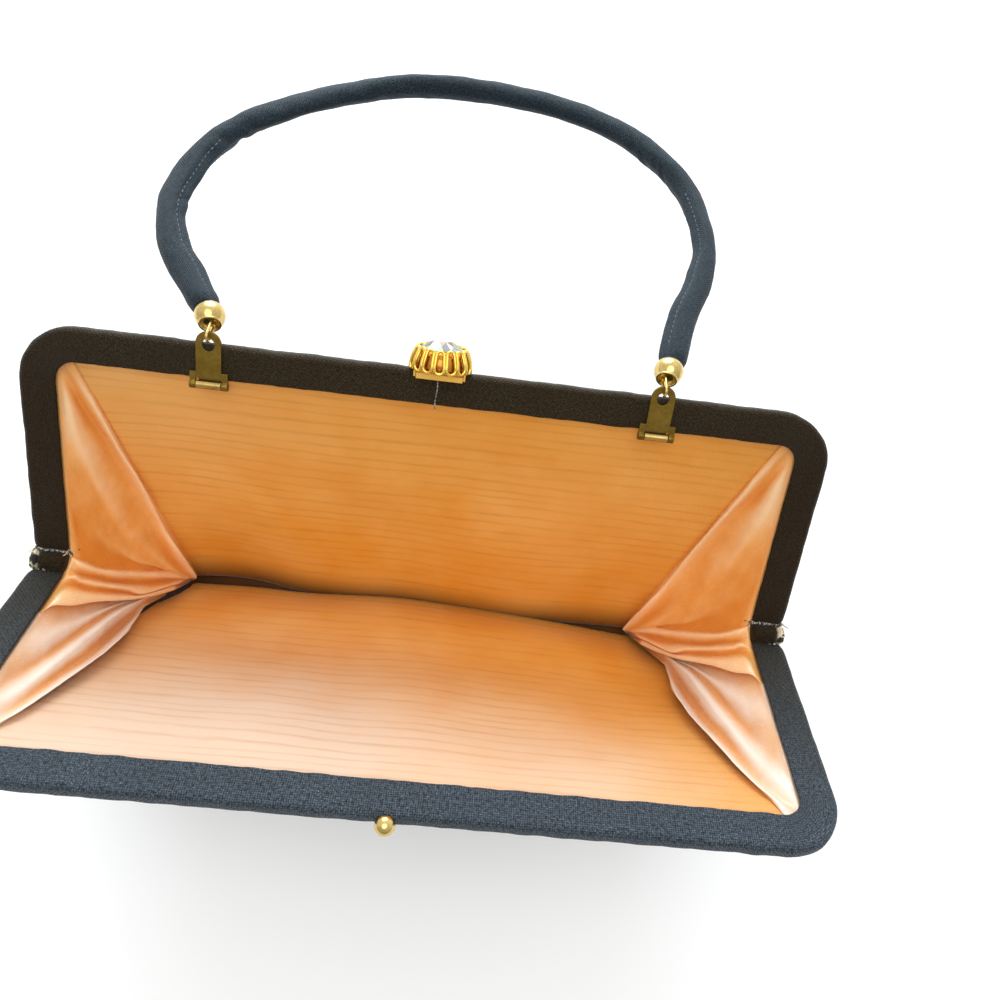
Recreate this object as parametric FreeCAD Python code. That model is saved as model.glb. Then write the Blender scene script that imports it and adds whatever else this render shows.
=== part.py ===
# Kiss lock frame purse, standing open on its base. Millimetres and degrees, +Z up.
# The origin is the middle of the base, and the hinge axis runs along X above it.
# Rigid pieces are drawn with the purse closed and the hinge axis at the origin, then swung open.
import FreeCAD
import Part

import math
import os

# Frame: two fabric-covered steel channels
frame_width = 254.0
frame_height = 77.5
bar_width = 10.5
arm_width = 11.4
bar_thickness = 5.0
half_gap = 0.7
outer_corner_radius = 18.0
inner_corner_radius = 6.0
edge_radius = 1.8
arm_end_height = 3.6
cover_wall = 0.6
steel_wall = 0.7
open_angle = 54.0
hinge_height = 70.0

# Hinge: ears stacked along X and a rivet through them
ear_radius = 3.0
ear_thickness = 1.0
ear_reach = 12.0
ear_gap = 0.2
rivet_radius = 1.5
rivet_head_radius = 2.5
rivet_head_height = 0.9
running_clearance = 0.05

# Clasp on the back bar: saddle, pin, rocker, crown and stone
clasp_length = 14.8
saddle_sheet = 0.5
saddle_lip = 3.6
saddle_tail = 0.7
clasp_pin_radius = 0.6
clasp_pin_rise = 1.2
clasp_pin_setback = 0.5
clasp_ear_radius = 1.1
clasp_ear_thickness = 0.8
clasp_ear_inset = 0.8
clasp_side_gap = 0.2
lug_thickness = 1.0
lug_reach = 4.2
lug_foot_gap = 0.05
rocker_rise = 4.6
rocker_plate = 0.8
spring_width = 4.0
spring_sheet = 0.3
spring_seat = 2.2
spring_tail = 2.9
crown_setback = 1.5
crown_lift = 0.8
crown_height = 7.8
crown_foot_radius = 9.6
crown_top_radius = 7.6
crown_wall = 0.9
crown_loops = 16
loop_slot_width = 1.5
loop_rim = 1.2
loop_notch_radius = 0.6
stone_radius = 6.5
stone_seat_radius = 4.8
stone_table_radius = 3.4
stone_girdle_rise = 2.3
stone_height = 4.6
stone_sides = 12

# Catch on the front bar
catch_radius = 2.8
catch_rise = 1.2
catch_stem_radius = 0.7
catch_washer_radius = 1.1
catch_washer_height = 0.5

# Handle tabs, with the brackets and pins that carry them
tab_spacing = 138.5
tab_thickness = 0.9
tab_seat_gap = 0.05
tab_width = 7.6
tab_foot_width = 11.4
tab_foot_height = 4.0
tab_window_gap = 0.8
tab_tip_rise = 4.0
tab_hole_radius = 1.9
tab_rim = 2.2
barrel_radius = 1.3
barrel_length = 7.4
barrel_drop = 1.9
barrel_side_gap = 0.15
tab_pin_radius = 0.6
bracket_sheet = 0.5
bracket_reach = 5.0

# Handle: wire eyes, bead caps, core and padded cover
handle_stop_angle = 51.0
eye_wire_radius = 0.4
eye_clearance = 0.012
eye_slack = 0.6
cap_radius = 4.6
cap_distance = 7.5
cap_offset = 1.5
cap_mouth = 3.5
cap_pocket_radius = 2.7
cap_pocket_depth = 1.1
cap_seat = 3.0
handle_radius = 4.2
handle_core_radius = 2.6
core_socket_depth = 1.6
handle_lean = 25.0
handle_leg = 30.0
handle_side_radius = 75.0
handle_shoulder_radius = 64.0
handle_shoulder_turn = 46.5

# Bag: fabric outside, boards and lining
base_length = 194.0
base_depth = 48.0
shell_thickness = 0.5
lining_thickness = 0.4
board_thickness = 1.0
soft_gap = 0.3
tuck_depth = 4.0
bend_drop = 1.0
panel_side_gap = 3.6
gusset_edge_gap = 2.3
gusset_tuck = 6.0
gusset_end_gap = 5.4
gusset_corner_gap = 4.0
gusset_fold_drop = 6.0
gusset_fold_in = 6.0
lining_inset = 9.0
lining_foot_depth = 8.0
lining_foot_height = 6.0
lining_fold_drop = 5.0
board_side_margin = 4.0
panel_swell = 4.5
swell_steps = 6

# Places that several pieces share
overrun = 1.0
bar_inner = frame_height - bar_width
arm_inner = frame_width / 2 - arm_width
arm_middle = frame_width / 2 - arm_width / 2
bar_back = half_gap + bar_thickness
bar_middle = half_gap + bar_thickness / 2
channel_wall = cover_wall + steel_wall
channel_front = half_gap + channel_wall
channel_back = bar_back - channel_wall
clasp_pin_half = clasp_length / 2 - clasp_ear_inset
clasp_pin_y = bar_back - clasp_pin_setback
clasp_pin_z = frame_height + saddle_sheet + clasp_pin_rise
crown_y = half_gap + crown_setback
crown_base = frame_height + crown_lift
rocker_low = frame_height + rocker_rise
rocker_top = rocker_low + rocker_plate
tab_y = half_gap - tab_seat_gap - tab_thickness / 2
tab_pivot_z = frame_height + tab_tip_rise - tab_rim / 2
barrel_z = bar_inner - barrel_drop
cap_z = tab_pivot_z + cap_distance
shell_y = channel_back - soft_gap - shell_thickness / 2
lining_y = shell_y - shell_thickness / 2 - soft_gap - lining_thickness / 2
shell_foot = shell_thickness + soft_gap
lining_foot_length = base_length - 2 * lining_inset
x_axis = FreeCAD.Vector(1, 0, 0)
y_axis = FreeCAD.Vector(0, 1, 0)
z_axis = FreeCAD.Vector(0, 0, 1)
hinge = FreeCAD.Vector(0, 0, 0)


def vec(x, y, z):
    return FreeCAD.Vector(x, y, z)


def box(x_low, x_high, y_low, y_high, z_low, z_high):
    return Part.makeBox(x_high - x_low, y_high - y_low, z_high - z_low, vec(x_low, y_low, z_low))


def rod(radius, x_low, x_high, y, z):
    return Part.makeCylinder(radius, x_high - x_low, vec(x_low, y, z), x_axis)


def post(radius, x, y, z_low, z_high):
    return Part.makeCylinder(radius, z_high - z_low, vec(x, y, z_low), z_axis)


def joined(shapes):
    return shapes[0].multiFuse(shapes[1:]).removeSplitter()


def other_side(shape):
    return shape.mirror(hinge, x_axis)


def front_half(shape):
    return shape.mirror(hinge, y_axis)


def plate_across_x(points, x_low, x_high):
    # plate from an outline of (y, z) points
    corners = [vec(x_low, y, z) for y, z in points]
    outline = Part.makePolygon(corners + corners[:1])
    return Part.Face(outline).extrude(vec(x_high - x_low, 0, 0))


def plate_across_y(points, y_low, y_high):
    # plate from an outline of (x, z) points
    corners = [vec(x, y_low, z) for x, z in points]
    outline = Part.makePolygon(corners + corners[:1])
    return Part.Face(outline).extrude(vec(0, y_high - y_low, 0))


def shifted(points, distance):
    # line of (y, z) points moved sideways, to the left of the way it runs
    headings = [math.atan2(b[1] - a[1], b[0] - a[0]) for a, b in zip(points, points[1:])]
    moved = []
    for (y, z), before, after in zip(points, headings[:1] + headings, headings + headings[-1:]):
        reach = distance / math.cos((after - before) / 2)
        middle = (after + before) / 2
        moved.append((y - reach * math.sin(middle), z + reach * math.cos(middle)))
    return moved


def sheet_outline(points, thickness):
    return shifted(points, thickness / 2) + shifted(points, -thickness / 2)[::-1]


def ribbon(points, thickness, half_length):
    # bent sheet of even thickness along (y, z) points, centred across X
    return plate_across_x(sheet_outline(points, thickness), -half_length, half_length)


def swung_open(shape, side=1):
    # from the closed pose to the open one: side is 1 for the back half, -1 for the front half
    moved = shape.copy()
    moved.rotate(hinge, x_axis, -side * open_angle)
    moved.translate(vec(0, 0, hinge_height))
    return moved


def open_point(y, z):
    # where a point of the closed back half lies when the purse is open
    turn = math.radians(open_angle)
    open_y = y * math.cos(turn) + z * math.sin(turn)
    open_z = z * math.cos(turn) - y * math.sin(turn)
    return (open_y, open_z + hinge_height)


# Frame halves and hinge

def arch(half, bottom, top, radius, y_low, y_high):
    # solid whose x-z outline is a doorway with round upper corners
    diagonal = radius * (1 - math.sqrt(0.5))
    foot_right = vec(half, y_low, bottom)
    rise_right = vec(half, y_low, top - radius)
    bend_right = vec(half - diagonal, y_low, top - diagonal)
    top_right = vec(half - radius, y_low, top)
    top_left = vec(radius - half, y_low, top)
    bend_left = vec(diagonal - half, y_low, top - diagonal)
    rise_left = vec(-half, y_low, top - radius)
    foot_left = vec(-half, y_low, bottom)
    edges = [
        Part.LineSegment(foot_right, rise_right).toShape(),
        Part.Arc(rise_right, bend_right, top_right).toShape(),
        Part.LineSegment(top_right, top_left).toShape(),
        Part.Arc(top_left, bend_left, rise_left).toShape(),
        Part.LineSegment(rise_left, foot_left).toShape(),
        Part.LineSegment(foot_left, foot_right).toShape(),
    ]
    return Part.Face(Part.Wire(edges)).extrude(vec(0, y_high - y_low, 0))


def outline_edges(solid):
    # the edges of an arch that follow its outline, apart from its flat bottom
    middle_z = solid.BoundBox.Center.z
    chosen = []
    for edge in solid.Edges:
        start, end = edge.Vertexes[0].Point, edge.Vertexes[-1].Point
        in_face = abs(start.y - end.y) < solid.BoundBox.YLength / 2
        if in_face and max(start.z, end.z) > middle_z:
            chosen.append(edge)
    return chosen


def frame_block(inset):
    # a frame half drawn in by inset, before its opening is cut
    top = frame_height - inset
    bottom = arm_end_height + inset
    radius = outer_corner_radius - inset
    return arch(frame_width / 2 - inset, bottom, top, radius, half_gap + inset, bar_back - inset)


def frame_opening(inset):
    # what is cut from a frame half inside its bar and arms
    bottom = arm_end_height - overrun
    radius = inner_corner_radius + inset
    return arch(arm_inner + inset, bottom, bar_inner + inset, radius, 0, bar_back + overrun)


def frame_form(inset):
    block = frame_block(inset)
    rounded = block.makeFillet(edge_radius - inset, outline_edges(block))
    return rounded.cut(frame_opening(inset))


def channel_cavity():
    # the hollow of a channel, open at its inner edge
    return frame_block(channel_wall).cut(frame_opening(-overrun))


def hinge_ear(x_low):
    # flat eye on the hinge axis with a neck that runs up inside the arm's channel
    x_high = x_low + ear_thickness
    slope = ear_radius * math.sqrt(0.5)
    top = arm_end_height + ear_reach
    neck = [
        (channel_back, top),
        (channel_back, slope),
        (slope, -slope),
        (0, 0),
        (0, ear_radius),
        (channel_front, arm_end_height + channel_wall),
        (channel_front, top),
    ]
    eye = rod(ear_radius, x_low, x_high, 0, 0)
    hole = rod(rivet_radius + running_clearance, x_low - overrun, x_high + overrun, 0, 0)
    return joined([plate_across_x(neck, x_low, x_high), eye]).cut(hole)


def hinge_ears(x_low):
    ear = hinge_ear(x_low)
    return [ear, other_side(ear)]


def frame_steel(ear_low):
    channel = frame_form(cover_wall).cut(channel_cavity())
    return joined([channel] + hinge_ears(ear_low))


def frame_cover(ear_low):
    shell = frame_form(0).cut(frame_form(cover_wall)).cut(channel_cavity())
    return shell.cut(Part.makeCompound(hinge_ears(ear_low)))


def hinge_rivet():
    half_stack = ear_gap / 2 + ear_thickness + running_clearance
    low = arm_middle - half_stack
    high = arm_middle + half_stack
    shank = rod(rivet_radius, low, high, 0, 0)
    inner_head = rod(rivet_head_radius, low - rivet_head_height, low, 0, 0)
    outer_head = rod(rivet_head_radius, high, high + rivet_head_height, 0, 0)
    rivet = joined([shank, inner_head, outer_head])
    rivet.translate(vec(0, 0, hinge_height))
    return rivet


# Clasp

def clasp_saddle():
    half = clasp_length / 2
    front = half_gap - saddle_sheet
    top = frame_height + saddle_sheet
    plate = box(-half, half, front, bar_back + saddle_tail, frame_height, top)
    lip = box(-half, half, front, half_gap, frame_height - saddle_lip, top)
    pieces = [plate, lip]
    for side in (-1, 1):
        low = side * (clasp_pin_half - clasp_ear_thickness / 2) - clasp_ear_thickness / 2
        high = low + clasp_ear_thickness
        y_low = clasp_pin_y - clasp_ear_radius
        y_high = clasp_pin_y + clasp_ear_radius
        pieces.append(box(low, high, y_low, y_high, frame_height, clasp_pin_z))
        pieces.append(rod(clasp_ear_radius, low, high, clasp_pin_y, clasp_pin_z))
    hole = rod(clasp_pin_radius, -clasp_length, clasp_length, clasp_pin_y, clasp_pin_z)
    return joined(pieces).cut(hole)


def clasp_pin():
    return rod(clasp_pin_radius, -clasp_pin_half, clasp_pin_half, clasp_pin_y, clasp_pin_z)


def clasp_spring():
    # leaf that lies on the saddle under the pin and lifts the tail of the rocker
    seat_z = frame_height + saddle_sheet + spring_sheet / 2
    points = [
        (clasp_pin_y - spring_seat, seat_z),
        (bar_back + saddle_tail, seat_z),
        (bar_back + saddle_tail + spring_tail, rocker_low - spring_sheet),
    ]
    return ribbon(points, spring_sheet, spring_width / 2)


def crown_inner_radius(z):
    taper = (crown_foot_radius - crown_top_radius) / crown_height
    return crown_foot_radius - taper * (z - crown_base) - crown_wall


def clasp_rocker():
    plate_radius = crown_inner_radius(rocker_top) - running_clearance
    plate = post(plate_radius, 0, crown_y, rocker_low, rocker_top)
    pieces = [plate]
    for side in (-1, 1):
        outer = clasp_pin_half - clasp_ear_thickness - clasp_side_gap
        low = side * (outer - lug_thickness / 2) - lug_thickness / 2
        high = low + lug_thickness
        foot = frame_height + saddle_sheet + lug_foot_gap
        pieces.append(box(low, high, clasp_pin_y - lug_reach, clasp_pin_y, foot, rocker_top))
        pieces.append(rod(clasp_ear_radius, low, high, clasp_pin_y, clasp_pin_z))
    hole = rod(clasp_pin_radius + running_clearance, -clasp_length, clasp_length, clasp_pin_y, clasp_pin_z)
    return joined(pieces).cut(hole)


def crown_slot():
    # long slot with round ends through the crown's wall, pointing out along +Y
    low = crown_base + loop_rim + loop_slot_width / 2
    high = crown_base + crown_height - loop_rim - loop_slot_width / 2
    half = loop_slot_width / 2
    middle = box(-half, half, 0, crown_foot_radius + overrun, low, high)
    ends = [
        Part.makeCylinder(half, crown_foot_radius + overrun, vec(0, 0, z), y_axis)
        for z in (low, high)
    ]
    return joined([middle] + ends)


def crown_notch():
    # small gap between two loops at the crown's foot
    return Part.makeCylinder(loop_notch_radius, crown_foot_radius + overrun, vec(0, 0, crown_base), y_axis)


def clasp_crown():
    foot_inner = crown_foot_radius - crown_wall
    top_inner = crown_top_radius - crown_wall
    outer = Part.makeCone(crown_foot_radius, crown_top_radius, crown_height, vec(0, 0, crown_base))
    inner = Part.makeCone(foot_inner, top_inner, crown_height, vec(0, 0, crown_base))
    cuts = []
    step = 360 / crown_loops
    for index in range(crown_loops):
        slot = crown_slot()
        slot.rotate(hinge, z_axis, index * step)
        notch = crown_notch()
        notch.rotate(hinge, z_axis, (index + 0.5) * step)
        cuts.extend([slot, notch])
    crown = outer.cut(inner).cut(Part.makeCompound(cuts))
    crown.translate(vec(0, crown_y, 0))
    return crown


def stone_outline(radius, z):
    step = 2 * math.pi / stone_sides
    corners = [
        vec(radius * math.cos(index * step), crown_y + radius * math.sin(index * step), z)
        for index in range(stone_sides)
    ]
    return Part.makePolygon(corners + corners[:1])


def clasp_stone():
    seat = stone_outline(stone_seat_radius, rocker_top)
    girdle = stone_outline(stone_radius, rocker_top + stone_girdle_rise)
    table = stone_outline(stone_table_radius, rocker_top + stone_height)
    return Part.makeLoft([seat, girdle, table], True, True)


def catch_stem(radius):
    washer_foot = frame_height - channel_wall - catch_washer_height
    return post(radius, 0, bar_middle, washer_foot, frame_height + catch_rise)


def catch_ball():
    ball = Part.makeSphere(catch_radius, vec(0, bar_middle, frame_height + catch_rise))
    below = box(-frame_width, frame_width, -frame_width, frame_width, 0, frame_height)
    return joined([ball.cut(below), catch_stem(catch_stem_radius)])


def catch_washer():
    top = frame_height - channel_wall
    disc = post(catch_washer_radius, 0, bar_middle, top - catch_washer_height, top)
    return disc.cut(catch_stem(catch_stem_radius))


# Handle tabs

def tab_bracket():
    # strip inside the back channel, brought out below the bar and rolled into a barrel
    half = barrel_length / 2
    strip_back = channel_front + bracket_sheet
    web_low = barrel_z - bracket_sheet / 2
    strip = box(-half, half, channel_front, strip_back, web_low, bar_inner + bracket_reach)
    web = box(-half, half, tab_y, strip_back, web_low, web_low + bracket_sheet)
    barrel = rod(barrel_radius, -half, half, tab_y, barrel_z)
    hole = rod(tab_pin_radius, -barrel_length, barrel_length, tab_y, barrel_z)
    return joined([strip, web, barrel]).cut(hole)


def tab_pin():
    return rod(tab_pin_radius, -tab_foot_width / 2, tab_foot_width / 2, tab_y, barrel_z)


def handle_tab():
    # T-shaped plate with two knuckles at its foot and a hole near its round tip
    y_low = tab_y - tab_thickness / 2
    y_high = tab_y + tab_thickness / 2
    foot_half = tab_foot_width / 2
    half = tab_width / 2
    tip_z = frame_height + tab_tip_rise - half
    foot_top = barrel_z + tab_foot_height
    window_half = barrel_length / 2 + barrel_side_gap
    window_top = barrel_z + barrel_radius + tab_window_gap
    foot = box(-foot_half, foot_half, y_low, y_high, barrel_z, foot_top)
    blade = box(-half, half, y_low, y_high, foot_top, tip_z)
    tip = Part.makeCylinder(half, tab_thickness, vec(0, y_low, tip_z), y_axis)
    left_knuckle = rod(barrel_radius, -foot_half, -window_half, tab_y, barrel_z)
    right_knuckle = rod(barrel_radius, window_half, foot_half, tab_y, barrel_z)
    window = box(-window_half, window_half, -overrun, overrun, 0, window_top)
    hole_z = frame_height + tab_tip_rise - tab_rim - tab_hole_radius
    eye_hole = Part.makeCylinder(tab_hole_radius, tab_thickness, vec(0, y_low, hole_z), y_axis)
    pin_hole = rod(tab_pin_radius + running_clearance, -tab_foot_width, tab_foot_width, tab_y, barrel_z)
    plate = joined([foot.cut(window), blade, tip, left_knuckle, right_knuckle])
    return plate.cut(Part.makeCompound([eye_hole, pin_hole]))


def on_tab(shape, side):
    # moves a piece drawn at the middle of the bar to the left (-1) or right (1) tab
    placed = shape.copy()
    placed.translate(vec(side * tab_spacing / 2, 0, 0))
    return placed


# Handle, drawn upright on the tabs and then leant back against its stop

def leant_back(shape):
    moved = shape.copy()
    moved.rotate(vec(0, tab_y, tab_pivot_z), x_axis, -handle_stop_angle)
    return moved


def eye_half_width():
    # half the inner width of the wire eye: it jams on the tab's rim at the stop angle
    stop = math.radians(handle_stop_angle)
    rim_span = tab_rim * math.sin(stop) + tab_thickness * math.cos(stop)
    return rim_span / 2 + eye_clearance


def handle_eye():
    reach = eye_half_width() + eye_wire_radius
    top = cap_z - cap_mouth + cap_pocket_depth
    bend = tab_pivot_z - eye_slack
    start = vec(0, tab_y - reach, top)
    front = vec(0, tab_y - reach, bend)
    bottom = vec(0, tab_y, bend - reach)
    back = vec(0, tab_y + reach, bend)
    end = vec(0, tab_y + reach, top)
    path = Part.Wire([
        Part.LineSegment(start, front).toShape(),
        Part.Arc(front, bottom, back).toShape(),
        Part.LineSegment(back, end).toShape(),
    ])
    section = Part.Wire(Part.makeCircle(eye_wire_radius, start, z_axis))
    return path.makePipeShell([section], True, True)


def lean_direction():
    lean = math.radians(handle_lean)
    return vec(math.sin(lean), 0, math.cos(lean))


def cap_centre():
    return vec(tab_spacing / 2 + cap_offset, tab_y, cap_z)


def handle_cap():
    # hollow bead, open below round the eye and cut flat above where the handle sits
    centre = cap_centre()
    along = lean_direction()
    seat = centre + along * cap_seat
    ball = Part.makeSphere(cap_radius, centre)
    above = Part.makeCylinder(cap_radius, cap_radius, seat, along)
    mouth_z = cap_z - cap_mouth
    below = post(cap_radius, centre.x, tab_y, mouth_z - cap_radius, mouth_z)
    pocket = post(cap_pocket_radius, centre.x, tab_y, mouth_z, mouth_z + cap_pocket_depth)
    socket_foot = seat - along * core_socket_depth
    socket = Part.makeCylinder(handle_core_radius + running_clearance, cap_radius, socket_foot, along)
    return ball.cut(Part.makeCompound([above, below, pocket])).cut(socket)


def arc_from(point, heading, radius, turn):
    # arc in the handle's plane that turns inward: its middle and end, and the heading there
    def after(angle):
        sideways = radius * (math.cos(heading - angle) - math.cos(heading))
        upward = radius * (math.sin(heading) - math.sin(heading - angle))
        return point + vec(sideways, 0, upward)
    return after(turn / 2), after(turn), heading - turn


def handle_path(start_distance):
    # planar loop of lines and tangent arcs, from the right cap over the top to the left cap
    lean = math.radians(handle_lean)
    shoulder_turn = math.radians(handle_shoulder_turn)
    start = cap_centre() + lean_direction() * start_distance
    leg_end = cap_centre() + lean_direction() * handle_leg
    side_middle, side_end, heading = arc_from(leg_end, lean, handle_side_radius, lean)
    middle, shoulder_end, heading = arc_from(side_end, heading, handle_shoulder_radius, shoulder_turn)
    crown_radius = shoulder_end.x / math.cos(shoulder_turn)
    top = vec(0, tab_y, shoulder_end.z + crown_radius * (1 - math.sin(shoulder_turn)))
    right = [
        Part.LineSegment(start, leg_end).toShape(),
        Part.Arc(leg_end, side_middle, side_end).toShape(),
        Part.Arc(side_end, middle, shoulder_end).toShape(),
    ]
    crown = Part.Arc(shoulder_end, top, vec(-shoulder_end.x, tab_y, shoulder_end.z)).toShape()
    left = [other_side(edge) for edge in right]
    return Part.Wire(Part.__sortEdges__(right + [crown] + left)), start


def handle_tube(radius, start_distance):
    path, start = handle_path(start_distance)
    section = Part.Wire(Part.makeCircle(radius, start, lean_direction()))
    return path.makePipeShell([section], True, True)


def handle_core():
    return handle_tube(handle_core_radius, cap_seat - core_socket_depth)


def handle_cover():
    outside = handle_tube(handle_radius, cap_seat)
    return outside.cut(handle_tube(handle_core_radius + running_clearance, cap_seat))


# Bag

def tapered(sheet, top_half, foot_half, bend_z, foot_z):
    # keeps the part of a sheet between two slanted sides
    top_z = hinge_height + frame_height
    outline = [
        (-top_half, top_z),
        (top_half, top_z),
        (top_half, bend_z),
        (foot_half, foot_z),
        (-foot_half, foot_z),
        (-top_half, bend_z),
    ]
    return sheet.common(plate_across_y(outline, -frame_width, frame_width))


def panel_line(swell):
    # the back panel's outer run from its bend to the base, swelling out most at mid height
    bend = open_point(shell_y, bar_inner - bend_drop)
    foot = (base_depth / 2 - shell_thickness, shell_foot)
    length = math.hypot(bend[0] - foot[0], bend[1] - foot[1])
    outward = ((bend[1] - foot[1]) / length, (foot[0] - bend[0]) / length)
    points = []
    for index in range(swell_steps + 1):
        share = index / swell_steps
        push = swell * 4 * share * (1 - share)
        y = bend[0] + (foot[0] - bend[0]) * share + outward[0] * push
        z = bend[1] + (foot[1] - bend[1]) * share + outward[1] * push
        points.append((y, z))
    return points


def swelled(line_for, thickness):
    # sheet whose swell dies away towards both sides
    half_length = arm_inner - panel_side_gap + overrun
    sections = []
    for place, share in ((-1, 0), (-0.7, 0.8), (0, 1), (0.7, 0.8), (1, 0)):
        outline = sheet_outline(line_for(panel_swell * share), thickness)
        corners = [vec(place * half_length, y, z) for y, z in outline]
        sections.append(Part.makePolygon(corners + corners[:1]))
    return Part.makeLoft(sections, True, True)


def shell_line(swell):
    # the whole back panel, with its tuck in the channel
    return [open_point(shell_y, bar_inner + tuck_depth)] + panel_line(swell)


def board_line(swell):
    # the stiffener lies inside the panel and stops short of its bend and its foot
    inward = shell_thickness / 2 + soft_gap + board_thickness / 2
    return shifted(panel_line(swell), -inward)[1:-1]


def back_panel():
    bend, foot = panel_line(0)[0], panel_line(0)[-1]
    sheet = swelled(shell_line, shell_thickness)
    return tapered(sheet, arm_inner - panel_side_gap, base_length / 2 - soft_gap, bend[1], foot[1])


def back_board():
    bend, foot = panel_line(0)[0], panel_line(0)[-1]
    sheet = swelled(board_line, board_thickness)
    top_half = arm_inner - panel_side_gap - board_side_margin
    foot_half = base_length / 2 - board_side_margin
    return tapered(sheet, top_half, foot_half, bend[1], foot[1])


def bottom_panel():
    return box(-base_length / 2, base_length / 2, -base_depth / 2, base_depth / 2, 0, shell_thickness)


def base_board():
    half_length = base_length / 2 - gusset_fold_in - board_side_margin
    half_depth = base_depth / 2 - board_side_margin
    return box(-half_length, half_length, -half_depth, half_depth, shell_foot, shell_foot + board_thickness)


def lining_line():
    return [
        open_point(lining_y, bar_inner + tuck_depth),
        open_point(lining_y, bar_inner - bend_drop),
        (lining_foot_depth / 2, lining_foot_height),
    ]


def back_lining():
    line = lining_line()
    sheet = ribbon(line, lining_thickness, frame_width / 2)
    top_half = arm_inner - panel_side_gap - soft_gap
    return tapered(sheet, top_half, lining_foot_length / 2, line[1][1], lining_foot_height)


def bottom_lining():
    half_length = lining_foot_length / 2
    half_depth = lining_foot_depth / 2
    top = lining_foot_height - soft_gap
    return box(-half_length, half_length, -half_depth, half_depth, top - lining_thickness, top)


def facet(corners, thickness):
    outline = Part.makePolygon(corners + corners[:1])
    return Part.Face(outline).extrude(vec(thickness, 0, 0))


def arm_edge(edge_x, sheet_y):
    # ends of a gusset's top edge along the back arm: near the frame's corner and near the hinge
    corner = vec(edge_x, *open_point(sheet_y, bar_inner - gusset_corner_gap))
    hinge_end = vec(edge_x, *open_point(sheet_y, arm_end_height + gusset_end_gap))
    return corner, hinge_end


def arm_tuck(edge_x, sheet_y, thickness):
    # strip of a gusset that lies inside the back arm's channel
    low = arm_end_height + gusset_end_gap
    high = bar_inner - gusset_corner_gap
    y_low = sheet_y - thickness / 2
    strip = box(edge_x, edge_x + gusset_tuck, y_low, y_low + thickness, low, high)
    return swung_open(strip)


def both_halves(pieces):
    return joined(pieces + [front_half(piece) for piece in pieces])


def gusset():
    # right end of the bag, folded inward along a line from the hinge to the base
    edge_x = arm_inner - gusset_edge_gap
    corner, hinge_end = arm_edge(edge_x, shell_y)
    fold_top = vec(edge_x, 0, hinge_height - gusset_fold_drop)
    fold_foot = vec(base_length / 2 - gusset_fold_in, 0, shell_foot)
    base_corner = vec(base_length / 2, base_depth / 2 - shell_thickness, shell_foot)
    return both_halves([
        arm_tuck(edge_x, shell_y, shell_thickness),
        facet([corner, hinge_end, fold_foot], shell_thickness),
        facet([hinge_end, fold_top, fold_foot], shell_thickness),
        facet([corner, fold_foot, base_corner], shell_thickness),
    ])


def gusset_lining():
    # two triangles from the arms down to one tip at the lining's bottom
    edge_x = arm_inner - gusset_edge_gap - soft_gap - lining_thickness
    corner, hinge_end = arm_edge(edge_x, lining_y)
    fold_top = vec(edge_x, 0, hinge_height - lining_fold_drop)
    tip = vec(lining_foot_length / 2 + soft_gap, 0, lining_foot_height)
    return both_halves([
        arm_tuck(edge_x, lining_y, lining_thickness),
        facet([corner, hinge_end, tip], lining_thickness),
        facet([hinge_end, fold_top, tip], lining_thickness),
    ])


# Every piece in its place

back_ear_x = arm_middle - ear_gap / 2 - ear_thickness
front_ear_x = arm_middle + ear_gap / 2
stem_hole = catch_stem(catch_stem_radius)

pieces = {
    "back_frame_steel": swung_open(frame_steel(back_ear_x)),
    "back_frame_cover": swung_open(frame_cover(back_ear_x)),
    "front_frame_steel": swung_open(front_half(frame_steel(front_ear_x).cut(stem_hole)), -1),
    "front_frame_cover": swung_open(front_half(frame_cover(front_ear_x).cut(stem_hole)), -1),
    "hinge_rivet_right": hinge_rivet(),
    "hinge_rivet_left": other_side(hinge_rivet()),
    "clasp_saddle": swung_open(clasp_saddle()),
    "clasp_pin": swung_open(clasp_pin()),
    "clasp_spring": swung_open(clasp_spring()),
    "clasp_rocker": swung_open(clasp_rocker()),
    "clasp_crown": swung_open(clasp_crown()),
    "clasp_stone": swung_open(clasp_stone()),
    "catch_ball": swung_open(front_half(catch_ball()), -1),
    "catch_washer": swung_open(front_half(catch_washer()), -1),
    "handle_core": swung_open(leant_back(handle_core())),
    "handle_cover": swung_open(leant_back(handle_cover())),
    "bottom_panel": bottom_panel(),
    "base_board": base_board(),
    "bottom_lining": bottom_lining(),
    "back_panel": back_panel(),
    "front_panel": front_half(back_panel()),
    "back_board": back_board(),
    "front_board": front_half(back_board()),
    "back_lining": back_lining(),
    "front_lining": front_half(back_lining()),
    "gusset_right": gusset(),
    "gusset_left": other_side(gusset()),
    "gusset_lining_right": gusset_lining(),
    "gusset_lining_left": other_side(gusset_lining()),
}
for name, side in (("left", -1), ("right", 1)):
    pieces["tab_bracket_" + name] = swung_open(on_tab(tab_bracket(), side))
    pieces["tab_pin_" + name] = swung_open(on_tab(tab_pin(), side))
    pieces["tab_" + name] = swung_open(on_tab(handle_tab(), side))
    pieces["handle_eye_" + name] = swung_open(leant_back(on_tab(handle_eye(), side)))
pieces["handle_cap_right"] = swung_open(leant_back(handle_cap()))
pieces["handle_cap_left"] = other_side(pieces["handle_cap_right"])

os.makedirs("parts", exist_ok=True)
for name, shape in pieces.items():
    print(name, "solids", len(shape.Solids), "valid", shape.isValid(), "volume", round(shape.Volume, 1))
    shape.exportStep("parts/" + name + ".step")
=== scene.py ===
import bpy
import bmesh
import math
import numpy as np
from mathutils import Euler, Matrix, Vector


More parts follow.
